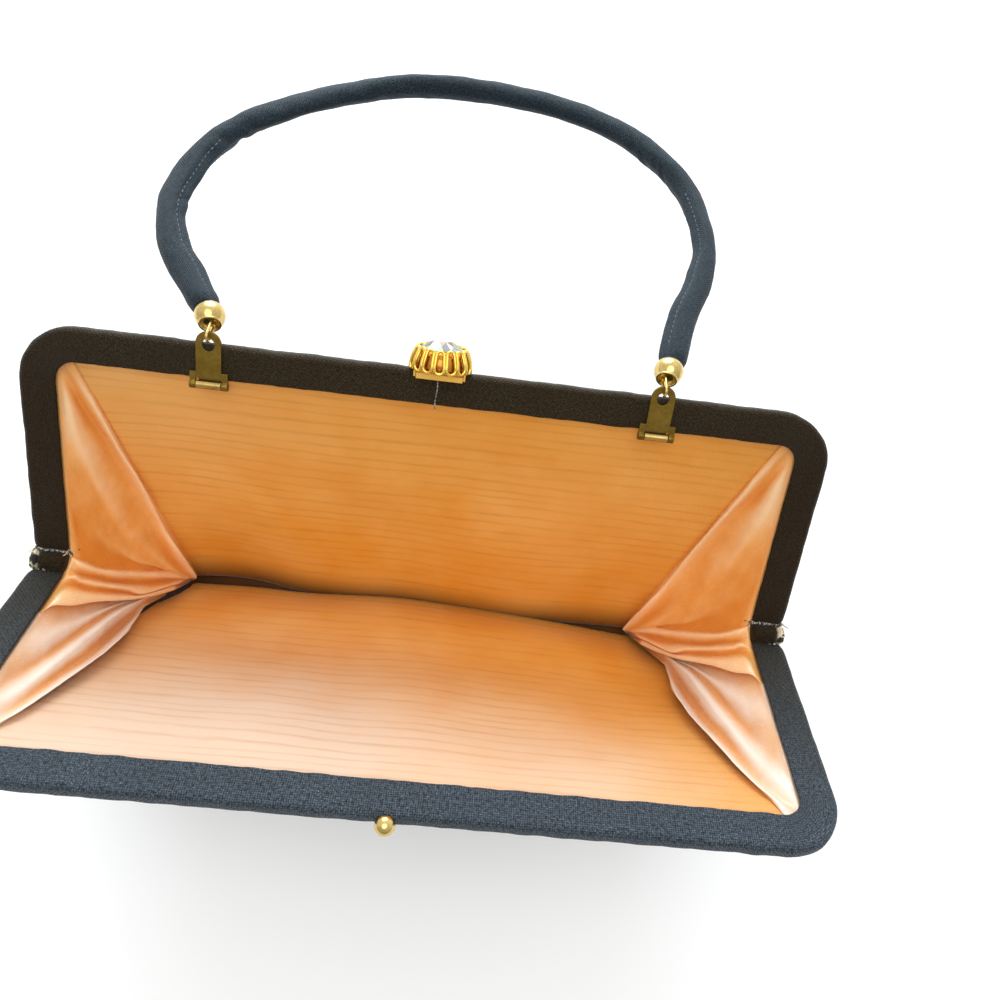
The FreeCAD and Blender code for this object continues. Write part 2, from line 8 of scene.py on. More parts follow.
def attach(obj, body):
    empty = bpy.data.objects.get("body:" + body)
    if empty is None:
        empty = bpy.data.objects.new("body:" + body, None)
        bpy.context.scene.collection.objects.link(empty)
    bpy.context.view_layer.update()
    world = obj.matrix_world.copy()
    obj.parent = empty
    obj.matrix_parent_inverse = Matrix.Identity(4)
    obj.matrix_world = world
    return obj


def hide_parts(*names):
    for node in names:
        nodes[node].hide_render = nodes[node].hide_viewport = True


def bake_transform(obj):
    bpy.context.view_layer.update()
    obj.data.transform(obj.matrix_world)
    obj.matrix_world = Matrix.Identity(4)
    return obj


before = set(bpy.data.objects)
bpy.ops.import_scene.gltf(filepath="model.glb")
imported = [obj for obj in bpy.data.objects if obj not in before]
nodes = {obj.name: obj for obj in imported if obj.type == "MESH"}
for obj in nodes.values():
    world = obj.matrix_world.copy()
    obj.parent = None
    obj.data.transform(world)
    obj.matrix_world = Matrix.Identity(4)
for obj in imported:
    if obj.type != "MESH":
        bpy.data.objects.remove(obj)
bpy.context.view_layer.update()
scene = bpy.context.scene
mm = 0.001
print("frame loaded,", len(nodes), "CAD nodes")

# sizes of the purse's frame in millimetres, drawn closed with the hinge axis at zero
purse = {
    "hingeHeight": 70.0, "openAngle": 54.0, "frameHeight": 77.5, "halfWidth": 127.0,
    "barWidth": 10.5, "armWidth": 11.4, "halfGap": 0.7, "barThickness": 5.0,
    "outerRadius": 18.0, "innerRadius": 6.0, "armEnd": 3.6, "tabSpacing": 138.5,
    "shellY": 3.85, "liningY": 3.1,
}
barInner = purse["frameHeight"] - purse["barWidth"]
armInner = purse["halfWidth"] - purse["armWidth"]
barBack = purse["halfGap"] + purse["barThickness"]


# helpers for points, meshes and pieces

def openUp(points, side=1):
    # closed-frame millimetres to the open purse in metres; side is -1 for the front half
    p = np.asarray(points, float)
    turn = math.radians(purse["openAngle"])
    y = p[..., 1] * math.cos(turn) + p[..., 2] * math.sin(turn)
    z = p[..., 2] * math.cos(turn) - p[..., 1] * math.sin(turn) + purse["hingeHeight"]
    return np.stack([p[..., 0], side * y, z], axis=-1) * mm


def softNoise(points, size, seed, waves=14):
    # smooth wobble of about -1 to 1, the same on each run
    rng = np.random.RandomState(seed)
    p = np.asarray(points, float)
    total = np.zeros(p.shape[:-1])
    for _ in range(waves):
        direction = rng.normal(size=p.shape[-1])
        direction *= rng.uniform(0.5, 1.5) / (size * np.linalg.norm(direction))
        total += np.sin(2 * math.pi * (p @ direction) + rng.uniform(0, 2 * math.pi))
    return total / math.sqrt(waves)


def smoothStep(value, low, high):
    t = np.clip((value - low) / (high - low), 0, 1)
    return t * t * (3 - 2 * t)


def hump(value, centre, width):
    return np.exp(-((value - centre) / width) ** 2)


def turnTo(angle, centre):
    # angle from a centre, between -pi and pi
    return np.angle(np.exp(1j * (angle - centre)))


def throughPoints(points, count):
    # count steps along a smooth curve that passes through the points
    p = np.asarray(points, float)
    p = np.concatenate([2 * p[:1] - p[1:2], p, 2 * p[-1:] - p[-2:-1]])
    place = np.linspace(0, len(p) - 3, count)
    k = np.minimum(place.astype(int), len(p) - 4)
    t = (place - k)[:, None]
    p0, p1, p2, p3 = p[k], p[k + 1], p[k + 2], p[k + 3]
    curve = 2 * p1 + (p2 - p0) * t + (2 * p0 - 5 * p1 + 4 * p2 - p3) * t ** 2
    return 0.5 * (curve + (3 * p1 - p0 - 3 * p2 + p3) * t ** 3)


def resample(line, count):
    # the same line with evenly spaced points
    length = np.concatenate([[0], np.cumsum(np.linalg.norm(np.diff(line, axis=0), axis=1))])
    even = np.linspace(0, length[-1], count)
    return np.stack([np.interp(even, length, line[:, k]) for k in range(line.shape[1])], axis=-1)


def smoothCurve(points, count):
    return resample(throughPoints(points, 24 * len(points)), count)


def arcPoints(centre, radius, start, end, count=7):
    # round stretch of an outline between two angles in degrees
    turn = np.radians(np.linspace(start, end, count))
    return [(centre[0] + radius * math.cos(a), centre[1] + radius * math.sin(a)) for a in turn]


def addObject(name, data):
    obj = bpy.data.objects.new(name, data)
    scene.collection.objects.link(obj)
    return obj


def smoothShade(mesh):
    mesh.polygons.foreach_set("use_smooth", [True] * len(mesh.polygons))


def addMesh(name, verts, faces, corners=None):
    mesh = bpy.data.meshes.new(name)
    mesh.from_pydata([tuple(v) for v in verts], [], faces)
    if corners is not None:
        layer = mesh.uv_layers.new(name="cloth")
        layer.data.foreach_set("uv", np.asarray(corners, np.float32).ravel())
    smoothShade(mesh)
    mesh.update()
    return addObject(name, mesh)


def closeWork(work, name):
    # edited geometry to a new object
    mesh = bpy.data.meshes.new(name)
    work.to_mesh(mesh)
    work.free()
    return addObject(name, mesh)


def gridPiece(name, points, uv, loop=False, capEnds=False, flip=False):
    # rows of points to a quad surface; loop joins the last column to the first
    rows, cols = points.shape[:2]
    faces = []
    corners = []
    for i in range(rows - 1):
        for j in range(cols if loop else cols - 1):
            quad = [(i, j), (i + 1, j), (i + 1, j + 1), (i, j + 1)]
            if flip:
                quad.reverse()
            faces.append([a * cols + b % cols for a, b in quad])
            corners.extend(uv[a, b] for a, b in quad)
    if capEnds:
        for i, order in ((0, 1), (rows - 1, -1)):
            ring = [(i, j) for j in range(cols)][::-order if flip else order]
            faces.append([a * cols + b for a, b in ring])
            corners.extend(uv[a, b] for a, b in ring)
    return addMesh(name, points.reshape(-1, 3), faces, corners)


def distanceUv(points, loop=False):
    # UV in millimetres measured along the middle row and column
    rows, cols = points.shape[:2]
    wrapped = np.concatenate([points, points[:, :1]], axis=1) if loop else points
    along = np.linalg.norm(np.diff(points[:, cols // 2], axis=0), axis=1)
    across = np.linalg.norm(np.diff(wrapped[rows // 2], axis=0), axis=1)
    u = np.concatenate([[0], np.cumsum(along)]) / mm
    v = np.concatenate([[0], np.cumsum(across)]) / mm
    return np.stack(np.meshgrid(u, v, indexing="ij"), axis=-1)


def roundPiece(name, points):
    # closed tube through rings of points
    obj = gridPiece(name, points, distanceUv(points, loop=True), loop=True, capEnds=True)
    tidyMesh(obj)
    return obj


def lathe(name, profile, origin, axis, steps=48):
    # closed (radius, height) outline in millimetres turned round an axis
    axis = Vector(axis).normalized()
    first = (Vector((1, 0, 0)) - axis * axis.x).normalized()
    second = axis.cross(first)
    angles = np.linspace(0, 2 * math.pi, steps, endpoint=False)
    ring = np.cos(angles)[:, None] * np.array(first) + np.sin(angles)[:, None] * np.array(second)
    outline = np.array(profile, float) * mm
    points = np.array(origin) + outline[:, None, :1] * ring[None] + outline[:, None, 1:] * np.array(axis)
    obj = gridPiece(name, points, distanceUv(points, loop=True), loop=True)
    tidyMesh(obj)
    return obj


def tidyMesh(obj):
    # merges poles and seams, then turns the faces outwards
    work = bmesh.new()
    work.from_mesh(obj.data)
    bmesh.ops.remove_doubles(work, verts=work.verts, dist=0.002 * mm)
    bmesh.ops.recalc_face_normals(work, faces=work.faces)
    work.to_mesh(obj.data)
    work.free()


def settle(obj):
    # turns modifiers into plain mesh
    depsgraph = bpy.context.evaluated_depsgraph_get()
    mesh = bpy.data.meshes.new_from_object(obj.evaluated_get(depsgraph))
    mesh.name = obj.name
    obj.modifiers.clear()
    obj.data = mesh
    return obj


def evenShade(obj):
    # flat faces shade flat, with the light caught on their broken edges
    smoothShade(obj.data)
    obj.modifiers.new("evenShade", "WEIGHTED_NORMAL")
    return settle(obj)


def thicken(obj, thickness):
    # gives a cloth surface its two faces and closed edges
    solid = obj.modifiers.new("thickness", "SOLIDIFY")
    solid.thickness = thickness * mm
    solid.offset = 0.0
    return settle(obj)


def toWorld(obj):
    # closed-frame millimetres in the mesh to the open purse in metres
    count = len(obj.data.vertices)
    co = np.empty(count * 3)
    obj.data.vertices.foreach_get("co", co)
    obj.data.vertices.foreach_set("co", openUp(co.reshape(count, 3)).ravel())
    obj.data.update()
    return obj


def finishPiece(obj, material, body, replaced=()):
    obj.data.materials.clear()
    obj.data.materials.append(material)
    if body:
        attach(obj, body)
    if replaced:
        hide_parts(*replaced)
    return obj


# helpers for materials

def newMaterial(name):
    material = bpy.data.materials.new(name)
    material.use_nodes = True
    tree = material.node_tree
    tree.nodes.clear()
    out = tree.nodes.new("ShaderNodeOutputMaterial")
    shader = tree.nodes.new("ShaderNodeBsdfPrincipled")
    tree.links.new(shader.outputs["BSDF"], out.inputs["Surface"])
    return material, tree, shader


def fillInputs(tree, node, inputs):
    # links sockets and sets plain values
    for key, value in inputs.items():
        if isinstance(value, bpy.types.NodeSocket):
            tree.links.new(value, node.inputs[key])
        else:
            node.inputs[key].default_value = value


def addNode(tree, kind, inputs=None, **settings):
    node = tree.nodes.new(kind)
    for key, value in settings.items():
        setattr(node, key, value)
    fillInputs(tree, node, inputs or {})
    return node


def calc(tree, operation, a, b=0.0, c=0.0):
    return addNode(tree, "ShaderNodeMath", {0: a, 1: b, 2: c}, operation=operation).outputs[0]


def between(tree, value, high=1.0):
    # keeps a value from 0 to high
    return calc(tree, "MINIMUM", calc(tree, "MAXIMUM", value, 0.0), high)


def softRange(tree, value, low, high):
    # 0 below low to 1 above high
    node = addNode(tree, "ShaderNodeMapRange", {0: value, 1: low, 2: high}, interpolation_type="SMOOTHSTEP")
    return node.outputs[0]


def ramp(tree, fac, stops):
    node = addNode(tree, "ShaderNodeValToRGB", {"Fac": fac})
    elements = node.color_ramp.elements
    while len(elements) < len(stops):
        elements.new(0.5)
    for element, (place, colour) in zip(elements, stops):
        element.position = place
        element.color = (*colour, 1)
    return node.outputs["Color"]


def noiseOf(tree, vector, scale, detail=2.0, roughness=0.5):
    node = addNode(tree, "ShaderNodeTexNoise", {
        "Vector": vector, "Scale": scale, "Detail": detail, "Roughness": roughness})
    return node.outputs["Fac"]


def mixColour(tree, fac, a, b, blend="MIX"):
    node = addNode(tree, "ShaderNodeMix", data_type="RGBA", blend_type=blend)
    for key, value in (("Factor_Float", fac), ("A_Color", a), ("B_Color", b)):
        socket = next(s for s in node.inputs if s.identifier == key)
        if isinstance(value, bpy.types.NodeSocket):
            tree.links.new(value, socket)
        else:
            socket.default_value = value if key == "Factor_Float" else (*value, 1)
    return next(s for s in node.outputs if s.identifier == "Result_Color")


def greyOf(tree, value):
    return addNode(tree, "ShaderNodeCombineXYZ", {0: value, 1: value, 2: value}).outputs[0]


def bumpOf(tree, height, strength, distance):
    return addNode(tree, "ShaderNodeBump", {
        "Height": height, "Strength": strength, "Distance": distance * mm}).outputs["Normal"]


def clothUv(tree):
    return addNode(tree, "ShaderNodeUVMap", uv_map="cloth").outputs["UV"]


def objectPlace(tree):
    return addNode(tree, "ShaderNodeTexCoord").outputs["Object"]


def stretchedUv(tree, uv, scale):
    return addNode(tree, "ShaderNodeMapping", {"Vector": uv, "Scale": scale}).outputs["Vector"]


def weaveHeight(tree, uv, pitch):
    # over-and-under threads of a plain weave, 0 in the gaps to 1 on top of a thread
    parts = addNode(tree, "ShaderNodeSeparateXYZ", {"Vector": uv})
    u = calc(tree, "MULTIPLY", parts.outputs["X"], math.pi / pitch)
    v = calc(tree, "MULTIPLY", parts.outputs["Y"], math.pi / pitch)
    warp = calc(tree, "ABSOLUTE", calc(tree, "SINE", u))
    weft = calc(tree, "ABSOLUTE", calc(tree, "SINE", v))
    checker = addNode(tree, "ShaderNodeTexChecker", {
        "Vector": uv, "Color1": (1, 1, 1, 1), "Color2": (0, 0, 0, 1), "Scale": 1.0 / pitch}).outputs["Fac"]
    over = calc(tree, "MULTIPLY", warp, checker)
    under = calc(tree, "MULTIPLY", weft, calc(tree, "SUBTRACT", 1.0, checker))
    return calc(tree, "ADD", over, under)


# black crepe of the frame, the handle and the outside; pairs of numbers are a noise's gain and offset
blackCloth = {
    "pitch": 0.62, "deep": (0.0050, 0.0040, 0.0032), "thread": (0.036, 0.033, 0.030),
    "dusty": (0.13, 0.135, 0.145), "roughness": 0.56, "bump": 1.0, "bumpDepth": 0.16,
    "gloss": 0.3, "glossTint": (1.0, 1.0, 1.0), "sheen": 0.05, "sheenTint": (0.80, 0.88, 1.0),
    "hingeTint": (1.0, 1.0, 1.0), "hingeFrom": 0.2, "hingeTo": 0.9,
    "slubScale": 1.1, "slubBump": 0.35, "crepe": (3.2, -0.95), "speckScale": 1.9, "specks": (5.0, -2.75),
    "mostSpecks": 0.9, "dustScale": 55.0, "dust": (2.2, -0.45),
}


def blackClothMaterial(name, **changes):
    look = dict(blackCloth, **changes)
    material, tree, shader = newMaterial(name)
    uv = clothUv(tree)
    place = objectPlace(tree)
    weave = weaveHeight(tree, uv, look["pitch"])
    slub = noiseOf(tree, uv, look["slubScale"], 3.0, 0.6)
    crepe = calc(tree, "MULTIPLY_ADD", slub, *look["crepe"])  # uneven threads of the crepe
    thread = calc(tree, "MAXIMUM", calc(tree, "MULTIPLY", weave, crepe), 0.0)
    base = ramp(tree, thread, ((0.08, look["deep"]), (0.85, look["thread"])))
    # pale specks where threads stand up, more of them where the cloth is dusty; partly dust, partly painted
    # thread highlights
    speck = calc(tree, "MULTIPLY_ADD", noiseOf(tree, uv, look["speckScale"], 2.0, 0.7), *look["specks"])
    dust = calc(tree, "MULTIPLY_ADD", noiseOf(tree, place, look["dustScale"], 4.0, 0.6), *look["dust"])
    fade = calc(tree, "MULTIPLY", calc(tree, "MAXIMUM", speck, 0.0), dust)
    colour = mixColour(tree, between(tree, fade, look["mostSpecks"]), base, look["dusty"])
    # painted shade: browner and darker along the arms towards the hinges
    parts = addNode(tree, "ShaderNodeSeparateXYZ", {"Vector": place})
    sideways = calc(tree, "DIVIDE", calc(tree, "ABSOLUTE", parts.outputs["X"]), purse["halfWidth"] * mm)
    away = calc(tree, "DIVIDE", calc(tree, "ABSOLUTE", parts.outputs["Y"]), purse["frameHeight"] * mm)
    toHinge = calc(tree, "MULTIPLY", sideways, calc(tree, "SUBTRACT", 1.0, away))
    hingeShade = softRange(tree, toHinge, look["hingeFrom"], look["hingeTo"])
    brown = mixColour(tree, 1.0, colour, look["hingeTint"], "MULTIPLY")
    height = calc(tree, "MULTIPLY_ADD", slub, look["slubBump"], weave)
    fillInputs(tree, shader, {
        "Base Color": mixColour(tree, hingeShade, colour, brown), "Roughness": look["roughness"],
        "Specular IOR Level": look["gloss"], "Specular Tint": (*look["glossTint"], 1),
        "Sheen Weight": look["sheen"], "Sheen Roughness": 0.45, "Sheen Tint": (*look["sheenTint"], 1),
        "Normal": bumpOf(tree, height, look["bump"], look["bumpDepth"])})
    return material


# watered twill of the lining's panels in millimetres; a patch of painted light is across, along, radius and
# strength
twill = {
    "pitch": 0.8, "crossShare": 0.8, "pale": (0.86, 0.43, 0.085), "deep": (0.80, 0.32, 0.020),
    "line": (0.46, 0.155, 0.012), "lineSpacing": 4.5, "lineWidth": 0.2, "lineDepth": 0.40,
    "lineBend": 2.2, "lineWave": 0.42, "lineFade": (2.2, -0.55), "lineBreaks": (0.9, 0.45),
    "roughness": 0.42, "gloss": 0.6, "sheen": 0.28, "sheenTint": (1.0, 0.90, 0.84),
    "grainShade": (0.36, 0.80), "faded": (0.93, 0.52, 0.17), "patchEdge": -1.4,
    "patches": ((195, 20, 60, 0.6), (48, 44, 44, 0.4)),
    "shadow": (0.16, 0.055, 0.008), "shadowFrom": 98.0, "shadowTo": 119.0,
}


def offCentre(tree, value, centre, radius):
    # square of the distance from a patch's middle, 1 at its radius
    return calc(tree, "POWER", calc(tree, "DIVIDE", calc(tree, "SUBTRACT", value, centre), radius), 2.0)


def twillMaterial(name, **changes):
    look = dict(twill, **changes)
    material, tree, shader = newMaterial(name)
    uv = clothUv(tree)
    parts = addNode(tree, "ShaderNodeSeparateXYZ", {"Vector": uv})
    u, v = parts.outputs["X"], parts.outputs["Y"]
    # diagonal ribs of the twill, broken by the crossing threads
    ribTurn = 2 * math.pi / look["pitch"]
    crossTurn = 2 * math.pi / (look["crossShare"] * look["pitch"])
    rib = calc(tree, "SINE", calc(tree, "MULTIPLY", calc(tree, "ADD", u, v), ribTurn))
    cross = calc(tree, "SINE", calc(tree, "MULTIPLY", calc(tree, "SUBTRACT", u, v), crossTurn))
    grain = calc(tree, "MULTIPLY_ADD", cross, 0.2, calc(tree, "MULTIPLY_ADD", rib, 0.3, 0.5))
    # faint watered lines that run along the bag, bending a little and fading in and out
    stretched = stretchedUv(tree, uv, (0.09, 1.0, 1.0))
    wander = noiseOf(tree, stretched, 0.06, 1.0, 0.4)
    wave = noiseOf(tree, stretched, 0.9, 2.0, 0.5)
    phase = calc(tree, "MULTIPLY", v, 1.0 / look["lineSpacing"])
    phase = calc(tree, "MULTIPLY_ADD", wander, look["lineBend"], phase)
    phase = calc(tree, "MULTIPLY_ADD", wave, look["lineWave"], phase)
    distance = calc(tree, "DIVIDE", calc(tree, "PINGPONG", phase, 0.5), look["lineWidth"])
    line = calc(tree, "MAXIMUM", calc(tree, "SUBTRACT", 1.0, distance), 0.0)
    fade = calc(tree, "MULTIPLY_ADD", noiseOf(tree, stretched, 0.35, 2.0, 0.5), *look["lineFade"])
    breaks = calc(tree, "MULTIPLY_ADD", noiseOf(tree, uv, 1.6, 2.0, 0.6), *look["lineBreaks"])
    line = calc(tree, "MULTIPLY", line, between(tree, fade))
    line = calc(tree, "MULTIPLY", line, calc(tree, "MULTIPLY", breaks, look["lineDepth"]))
    # painted light: paler in patches, where the light falls on the cloth
    cloud = noiseOf(tree, uv, 0.03, 3.0, 0.55)
    base = ramp(tree, cloud, ((0.3, look["deep"]), (0.7, look["pale"])))
    uneven = calc(tree, "MULTIPLY_ADD", cloud, 0.8, 0.6)
    for across, along, radius, strength in look["patches"]:
        far = calc(tree, "ADD", offCentre(tree, u, across, 1.25 * radius), offCentre(tree, v, along, radius))
        worn = calc(tree, "POWER", 2.718, calc(tree, "MULTIPLY", far, look["patchEdge"]))
        worn = calc(tree, "MULTIPLY", calc(tree, "MULTIPLY", worn, uneven), strength)
        base = mixColour(tree, calc(tree, "MINIMUM", worn, 1.0), base, look["faded"])
    shade = calc(tree, "MULTIPLY_ADD", grain, *look["grainShade"])
    base = mixColour(tree, 1.0, base, greyOf(tree, shade), "MULTIPLY")
    # darker where the cloth goes down into the fold at the bottom
    base = mixColour(tree, softRange(tree, v, look["shadowFrom"], look["shadowTo"]), base, look["shadow"])
    fillInputs(tree, shader, {
        "Base Color": mixColour(tree, line, base, look["line"]), "Roughness": look["roughness"],
        "Specular IOR Level": look["gloss"], "Sheen Weight": look["sheen"], "Sheen Roughness": 0.3,
        "Sheen Tint": (*look["sheenTint"], 1), "Normal": bumpOf(tree, grain, 0.5, 0.1)})
    return material


# satin of the gussets; each pair holds the colours at the back and at the front, the front's paler with
# painted light
satin = {
    "pale": ((0.94, 0.53, 0.20), (0.85, 0.71, 0.60)), "deep": ((0.86, 0.36, 0.065), (0.82, 0.50, 0.26)),
    "ridge": ((0.98, 0.67, 0.38), (0.90, 0.82, 0.74)), "crease": ((0.76, 0.260, 0.030), (0.76, 0.35, 0.115)),
    "shadow": (0.085, 0.028, 0.006), "roughness": 0.25, "pitch": 0.4, "gloss": 0.85,
    "sheen": 0.45, "sheenTint": (1.0, 0.82, 0.72),
}


def satinMaterial(name, look):
    material, tree, shader = newMaterial(name)
    uv = clothUv(tree)
    front, relief = (addNode(tree, "ShaderNodeAttribute", attribute_name=key).outputs["Fac"]
                     for key in ("front", "relief"))
    pale, deep, ridge, crease = (mixColour(tree, front, *look[key])
                                 for key in ("pale", "deep", "ridge", "crease"))
    cloud = noiseOf(tree, uv, 0.06, 3.0, 0.6)
    floats = noiseOf(tree, stretchedUv(tree, uv, (3.0, 0.5, 1.0)), 1.6, 2.0, 0.6)  # long threads of the face
    amount = calc(tree, "MULTIPLY_ADD", floats, 0.25, calc(tree, "MULTIPLY", cloud, 0.85))
    amount = addNode(tree, "ShaderNodeMapRange", {0: amount, 1: 0.35, 2: 0.72}).outputs[0]
    colour = mixColour(tree, amount, deep, pale)
    # painted highlight on the ridges, painted shade in the creases and dark painted shade where the end turns
    # under the tip
    hollow = calc(tree, "MULTIPLY", relief, -1.0)
    turned = calc(tree, "SUBTRACT", hollow, 1.0)
    for height, tint in ((relief, ridge), (hollow, crease), (turned, look["shadow"])):
        colour = mixColour(tree, calc(tree, "MAXIMUM", height, 0.0), colour, tint)
    fillInputs(tree, shader, {
        "Base Color": colour, "Specular IOR Level": look["gloss"], "Sheen Weight": look["sheen"],
        "Roughness": calc(tree, "MULTIPLY_ADD", floats, 0.22, look["roughness"] - 0.11),
        "Sheen Roughness": 0.3, "Sheen Tint": (*look["sheenTint"], 1),
        "Normal": bumpOf(tree, weaveHeight(tree, uv, look["pitch"]), 0.2, 0.05)})
    return material


metals = {
    "goldMetal": dict(bright=(1.0, 0.74, 0.16), dull=(0.72, 0.41, 0.045),
                      roughness=0.16, scale=260, wear=0.35),
    "capGold": dict(bright=(0.86, 0.66, 0.26), dull=(0.50, 0.34, 0.10),
                    roughness=0.2, scale=300, wear=0.5),
    "agedBrass": dict(bright=(0.30, 0.20, 0.04), dull=(0.13, 0.075, 0.01),
                      roughness=0.44, scale=180, wear=0.8),
    "barrelBrass": dict(bright=(0.62, 0.45, 0.16), dull=(0.34, 0.22, 0.06),
                        roughness=0.3, scale=240, wear=0.6),
    "cupGold": dict(bright=(0.80, 0.40, 0.07), dull=(0.45, 0.16, 0.02),
                    roughness=0.34, scale=260, wear=0.6),
    "copperSheet": dict(bright=(1.0, 0.68, 0.17), dull=(1.0, 0.55, 0.09),
                        roughness=0.42, scale=220, wear=0.6),
    "dullSteel": dict(bright=(0.30, 0.29, 0.27), dull=(0.10, 0.09, 0.08),
                      roughness=0.42, scale=240, wear=0.8),
}


def metalMaterial(name, bright, dull, roughness, scale, wear):
    material, tree, shader = newMaterial(name)
    place = objectPlace(tree)
    patches = noiseOf(tree, place, scale, 4.0, 0.6)
    grime = noiseOf(tree, place, scale * 4.5, 3.0, 0.7)
    amount = calc(tree, "MULTIPLY_ADD", grime, 0.4, calc(tree, "MULTIPLY", patches, 0.75))
    fillInputs(tree, shader, {
        "Base Color": ramp(tree, amount, ((0.5 - 0.28 * wear, bright), (0.82, dull))), "Metallic": 1.0,
        "Roughness": calc(tree, "MULTIPLY_ADD", patches, 0.28 * wear, roughness - 0.1 * wear),
        "Normal": bumpOf(tree, grime, 0.12 * wear, 0.06)})
    return material


def crystalMaterial(name):
    # glass stone with silver foil behind it; each facet has its own tint, a painted reflection
    material, tree, shader = newMaterial(name)
    tint = addNode(tree, "ShaderNodeAttribute", attribute_name="facetReflection").outputs["Color"]
    speck = noiseOf(tree, objectPlace(tree), 700.0, 2.0)
    flaws = ramp(tree, speck, ((0.35, (0.72, 0.72, 0.72)), (0.55, (1.0, 1.0, 1.0))))
    fillInputs(tree, shader, {
        "Base Color": mixColour(tree, 1.0, tint, flaws, "MULTIPLY"), "Metallic": 0.45, "Roughness": 0.08,
        "Coat Weight": 0.6, "Coat Roughness": 0.02})
    return material


def fibreMaterial(name, light, dark, scale=900.0, stops=(0.35, 0.65)):
    # thread, cord, board: matt fibres with a little speckle
    material, tree, shader = newMaterial(name)
    speck = noiseOf(tree, objectPlace(tree), scale, 3.0, 0.7)
    fillInputs(tree, shader, {
        "Base Color": ramp(tree, speck, ((stops[0], dark), (stops[1], light))), "Roughness": 0.85,
        "Normal": bumpOf(tree, speck, 0.4, 0.1)})
    return material


# painted light: one black crepe in lit and shaded copies; the back cover's copy, also on the front knuckles,
# is browner and darker with a warm gloss tint, standing for shade and the lining's warm bounce, and the front
# cover's and the handle's copies are bluish, standing for the window's light
shadedBlack = blackClothMaterial(
    "shadedBlack", deep=(0.0040, 0.0026, 0.0010), thread=(0.030, 0.021, 0.0095), dusty=(0.09, 0.085, 0.075),
    gloss=0.26, glossTint=(1.0, 0.72, 0.38), sheen=0.08,
    hingeTint=(0.55, 0.32, 0.08), hingeFrom=0.05, hingeTo=0.45)
windowLitBlack = blackClothMaterial(
    "windowLitBlack", deep=(0.0050, 0.0065, 0.0085), thread=(0.062, 0.084, 0.108), dusty=(0.22, 0.27, 0.32),
    glossTint=(0.82, 0.92, 1.0), hingeTint=(0.48, 0.30, 0.13))
handleBlack = blackClothMaterial(
    "handleBlack", pitch=0.5, deep=(0.002, 0.0028, 0.0036), thread=(0.019, 0.034, 0.048),
    dusty=(0.10, 0.14, 0.18), gloss=0.24, glossTint=(0.72, 0.90, 1.0))
bagCloth = blackClothMaterial(
    "bagCloth", pitch=0.8, deep=(0.013, 0.0145, 0.0165), thread=(0.034, 0.0375, 0.043), bump=0.4)
liningTwill = twillMaterial("liningTwill")
# painted light: the front lining's copy turns pale near the mouth, where the window lights it
fadedTwill = twillMaterial(
    "fadedTwill", faded=(0.75, 0.58, 0.44), shadowFrom=112.0, shadowTo=126.0,
    patches=((152, 12, 68, 1.3), (60, 14, 46, 0.7), (205, 18, 42, 0.6)))
# painted shade: the bottom strip's twill is dark to stand for the shade deep in the fold
shadedTwill = twillMaterial(
    "shadedTwill", pale=(0.085, 0.034, 0.008), deep=(0.055, 0.020, 0.004), line=(0.04, 0.013, 0.002),
    shadow=(0.03, 0.010, 0.002), patches=(), gloss=0.1, sheen=0.0, roughness=0.8)
liningSatin = satinMaterial("liningSatin", satin)
goldMetal, capGold, agedBrass, barrelBrass, cupGold, copperSheet, dullSteel = (
    metalMaterial(name, **look) for name, look in metals.items())
crystal = crystalMaterial("crystal")
cordFibre = fibreMaterial("cordFibre", (0.60, 0.55, 0.46), (0.42, 0.37, 0.29))
paperboard = fibreMaterial("paperboard", (0.50, 0.42, 0.32), (0.36, 0.29, 0.21))
blackThread = fibreMaterial("blackThread", (0.10, 0.11, 0.13), (0.03, 0.033, 0.04))
stitchThread = fibreMaterial("stitchThread", (0.25, 0.29, 0.33), (0.07, 0.085, 0.10))
creamThread = fibreMaterial("creamThread", (0.80, 0.70, 0.50), (0.52, 0.42, 0.24))
wornCloth = fibreMaterial("wornCloth", (0.74, 0.64, 0.44), (0.022, 0.020, 0.018), 420.0, (0.46, 0.54))
greyThread = fibreMaterial("greyThread", (0.52, 0.50, 0.46), (0.05, 0.045, 0.04))
print("materials ready")

nodeFinish = (
    (dullSteel, ("back_frame_steel", "front_frame_steel", "hinge_rivet_left", "hinge_rivet_right",
                 "clasp_pin", "clasp_spring", "tab_pin_left", "tab_pin_right")),
    (copperSheet, ("clasp_saddle",)),
    (goldMetal, ("clasp_rocker", "clasp_crown")),
    (crystal, ("clasp_stone",)),
    (capGold, ("catch_ball", "catch_washer", "handle_eye_left", "handle_eye_right",
               "handle_cap_left", "handle_cap_right")),
    (agedBrass, ("tab_bracket_left", "tab_bracket_right", "tab_left", "tab_right")),
    (cordFibre, ("handle_core",)),
    (paperboard, ("base_board",)),
)
for material, names in nodeFinish:
    for name in names:
        nodes[name].data.materials.clear()
        nodes[name].data.materials.append(material)


# frame covers: cloth drawn tight round each half, with a groove for the bag

coverLook = {
    "edgeRadius": 1.8, "lip": 0.8, "grooveDepth": 2.6, "armRows": 34, "cornerRows": 18, "barRows": 90,
    "lumps": 0.10, "lumpSize": 9.0, "fineLumps": 0.35, "fineSize": 3.0,
    "foldedEnds": ((0, 0.90), (1, 0.985), (-2, 0.985), (-1, 0.90)),  # row, share of its width
}


def doorway(half, top, radius, counts, foot):
    # an upside-down U, from the right arm's foot over the bar to the left arm's foot
    arm, corner, bar = counts
    rise = [(half, foot + (top - radius - foot) * t) for t in np.linspace(0, 1, arm, endpoint=False)]
    turn = np.linspace(0, math.pi / 2, corner, endpoint=False)
    bend = [(half - radius + radius * math.cos(a), top - radius + radius * math.sin(a)) for a in turn]
    run = [((half - radius) * (1 - t), top) for t in np.linspace(0, 1, bar)]
    right = np.array(rise + bend + run)
    left = right[::-1][1:] * [-1, 1]
    return np.concatenate([right, left])


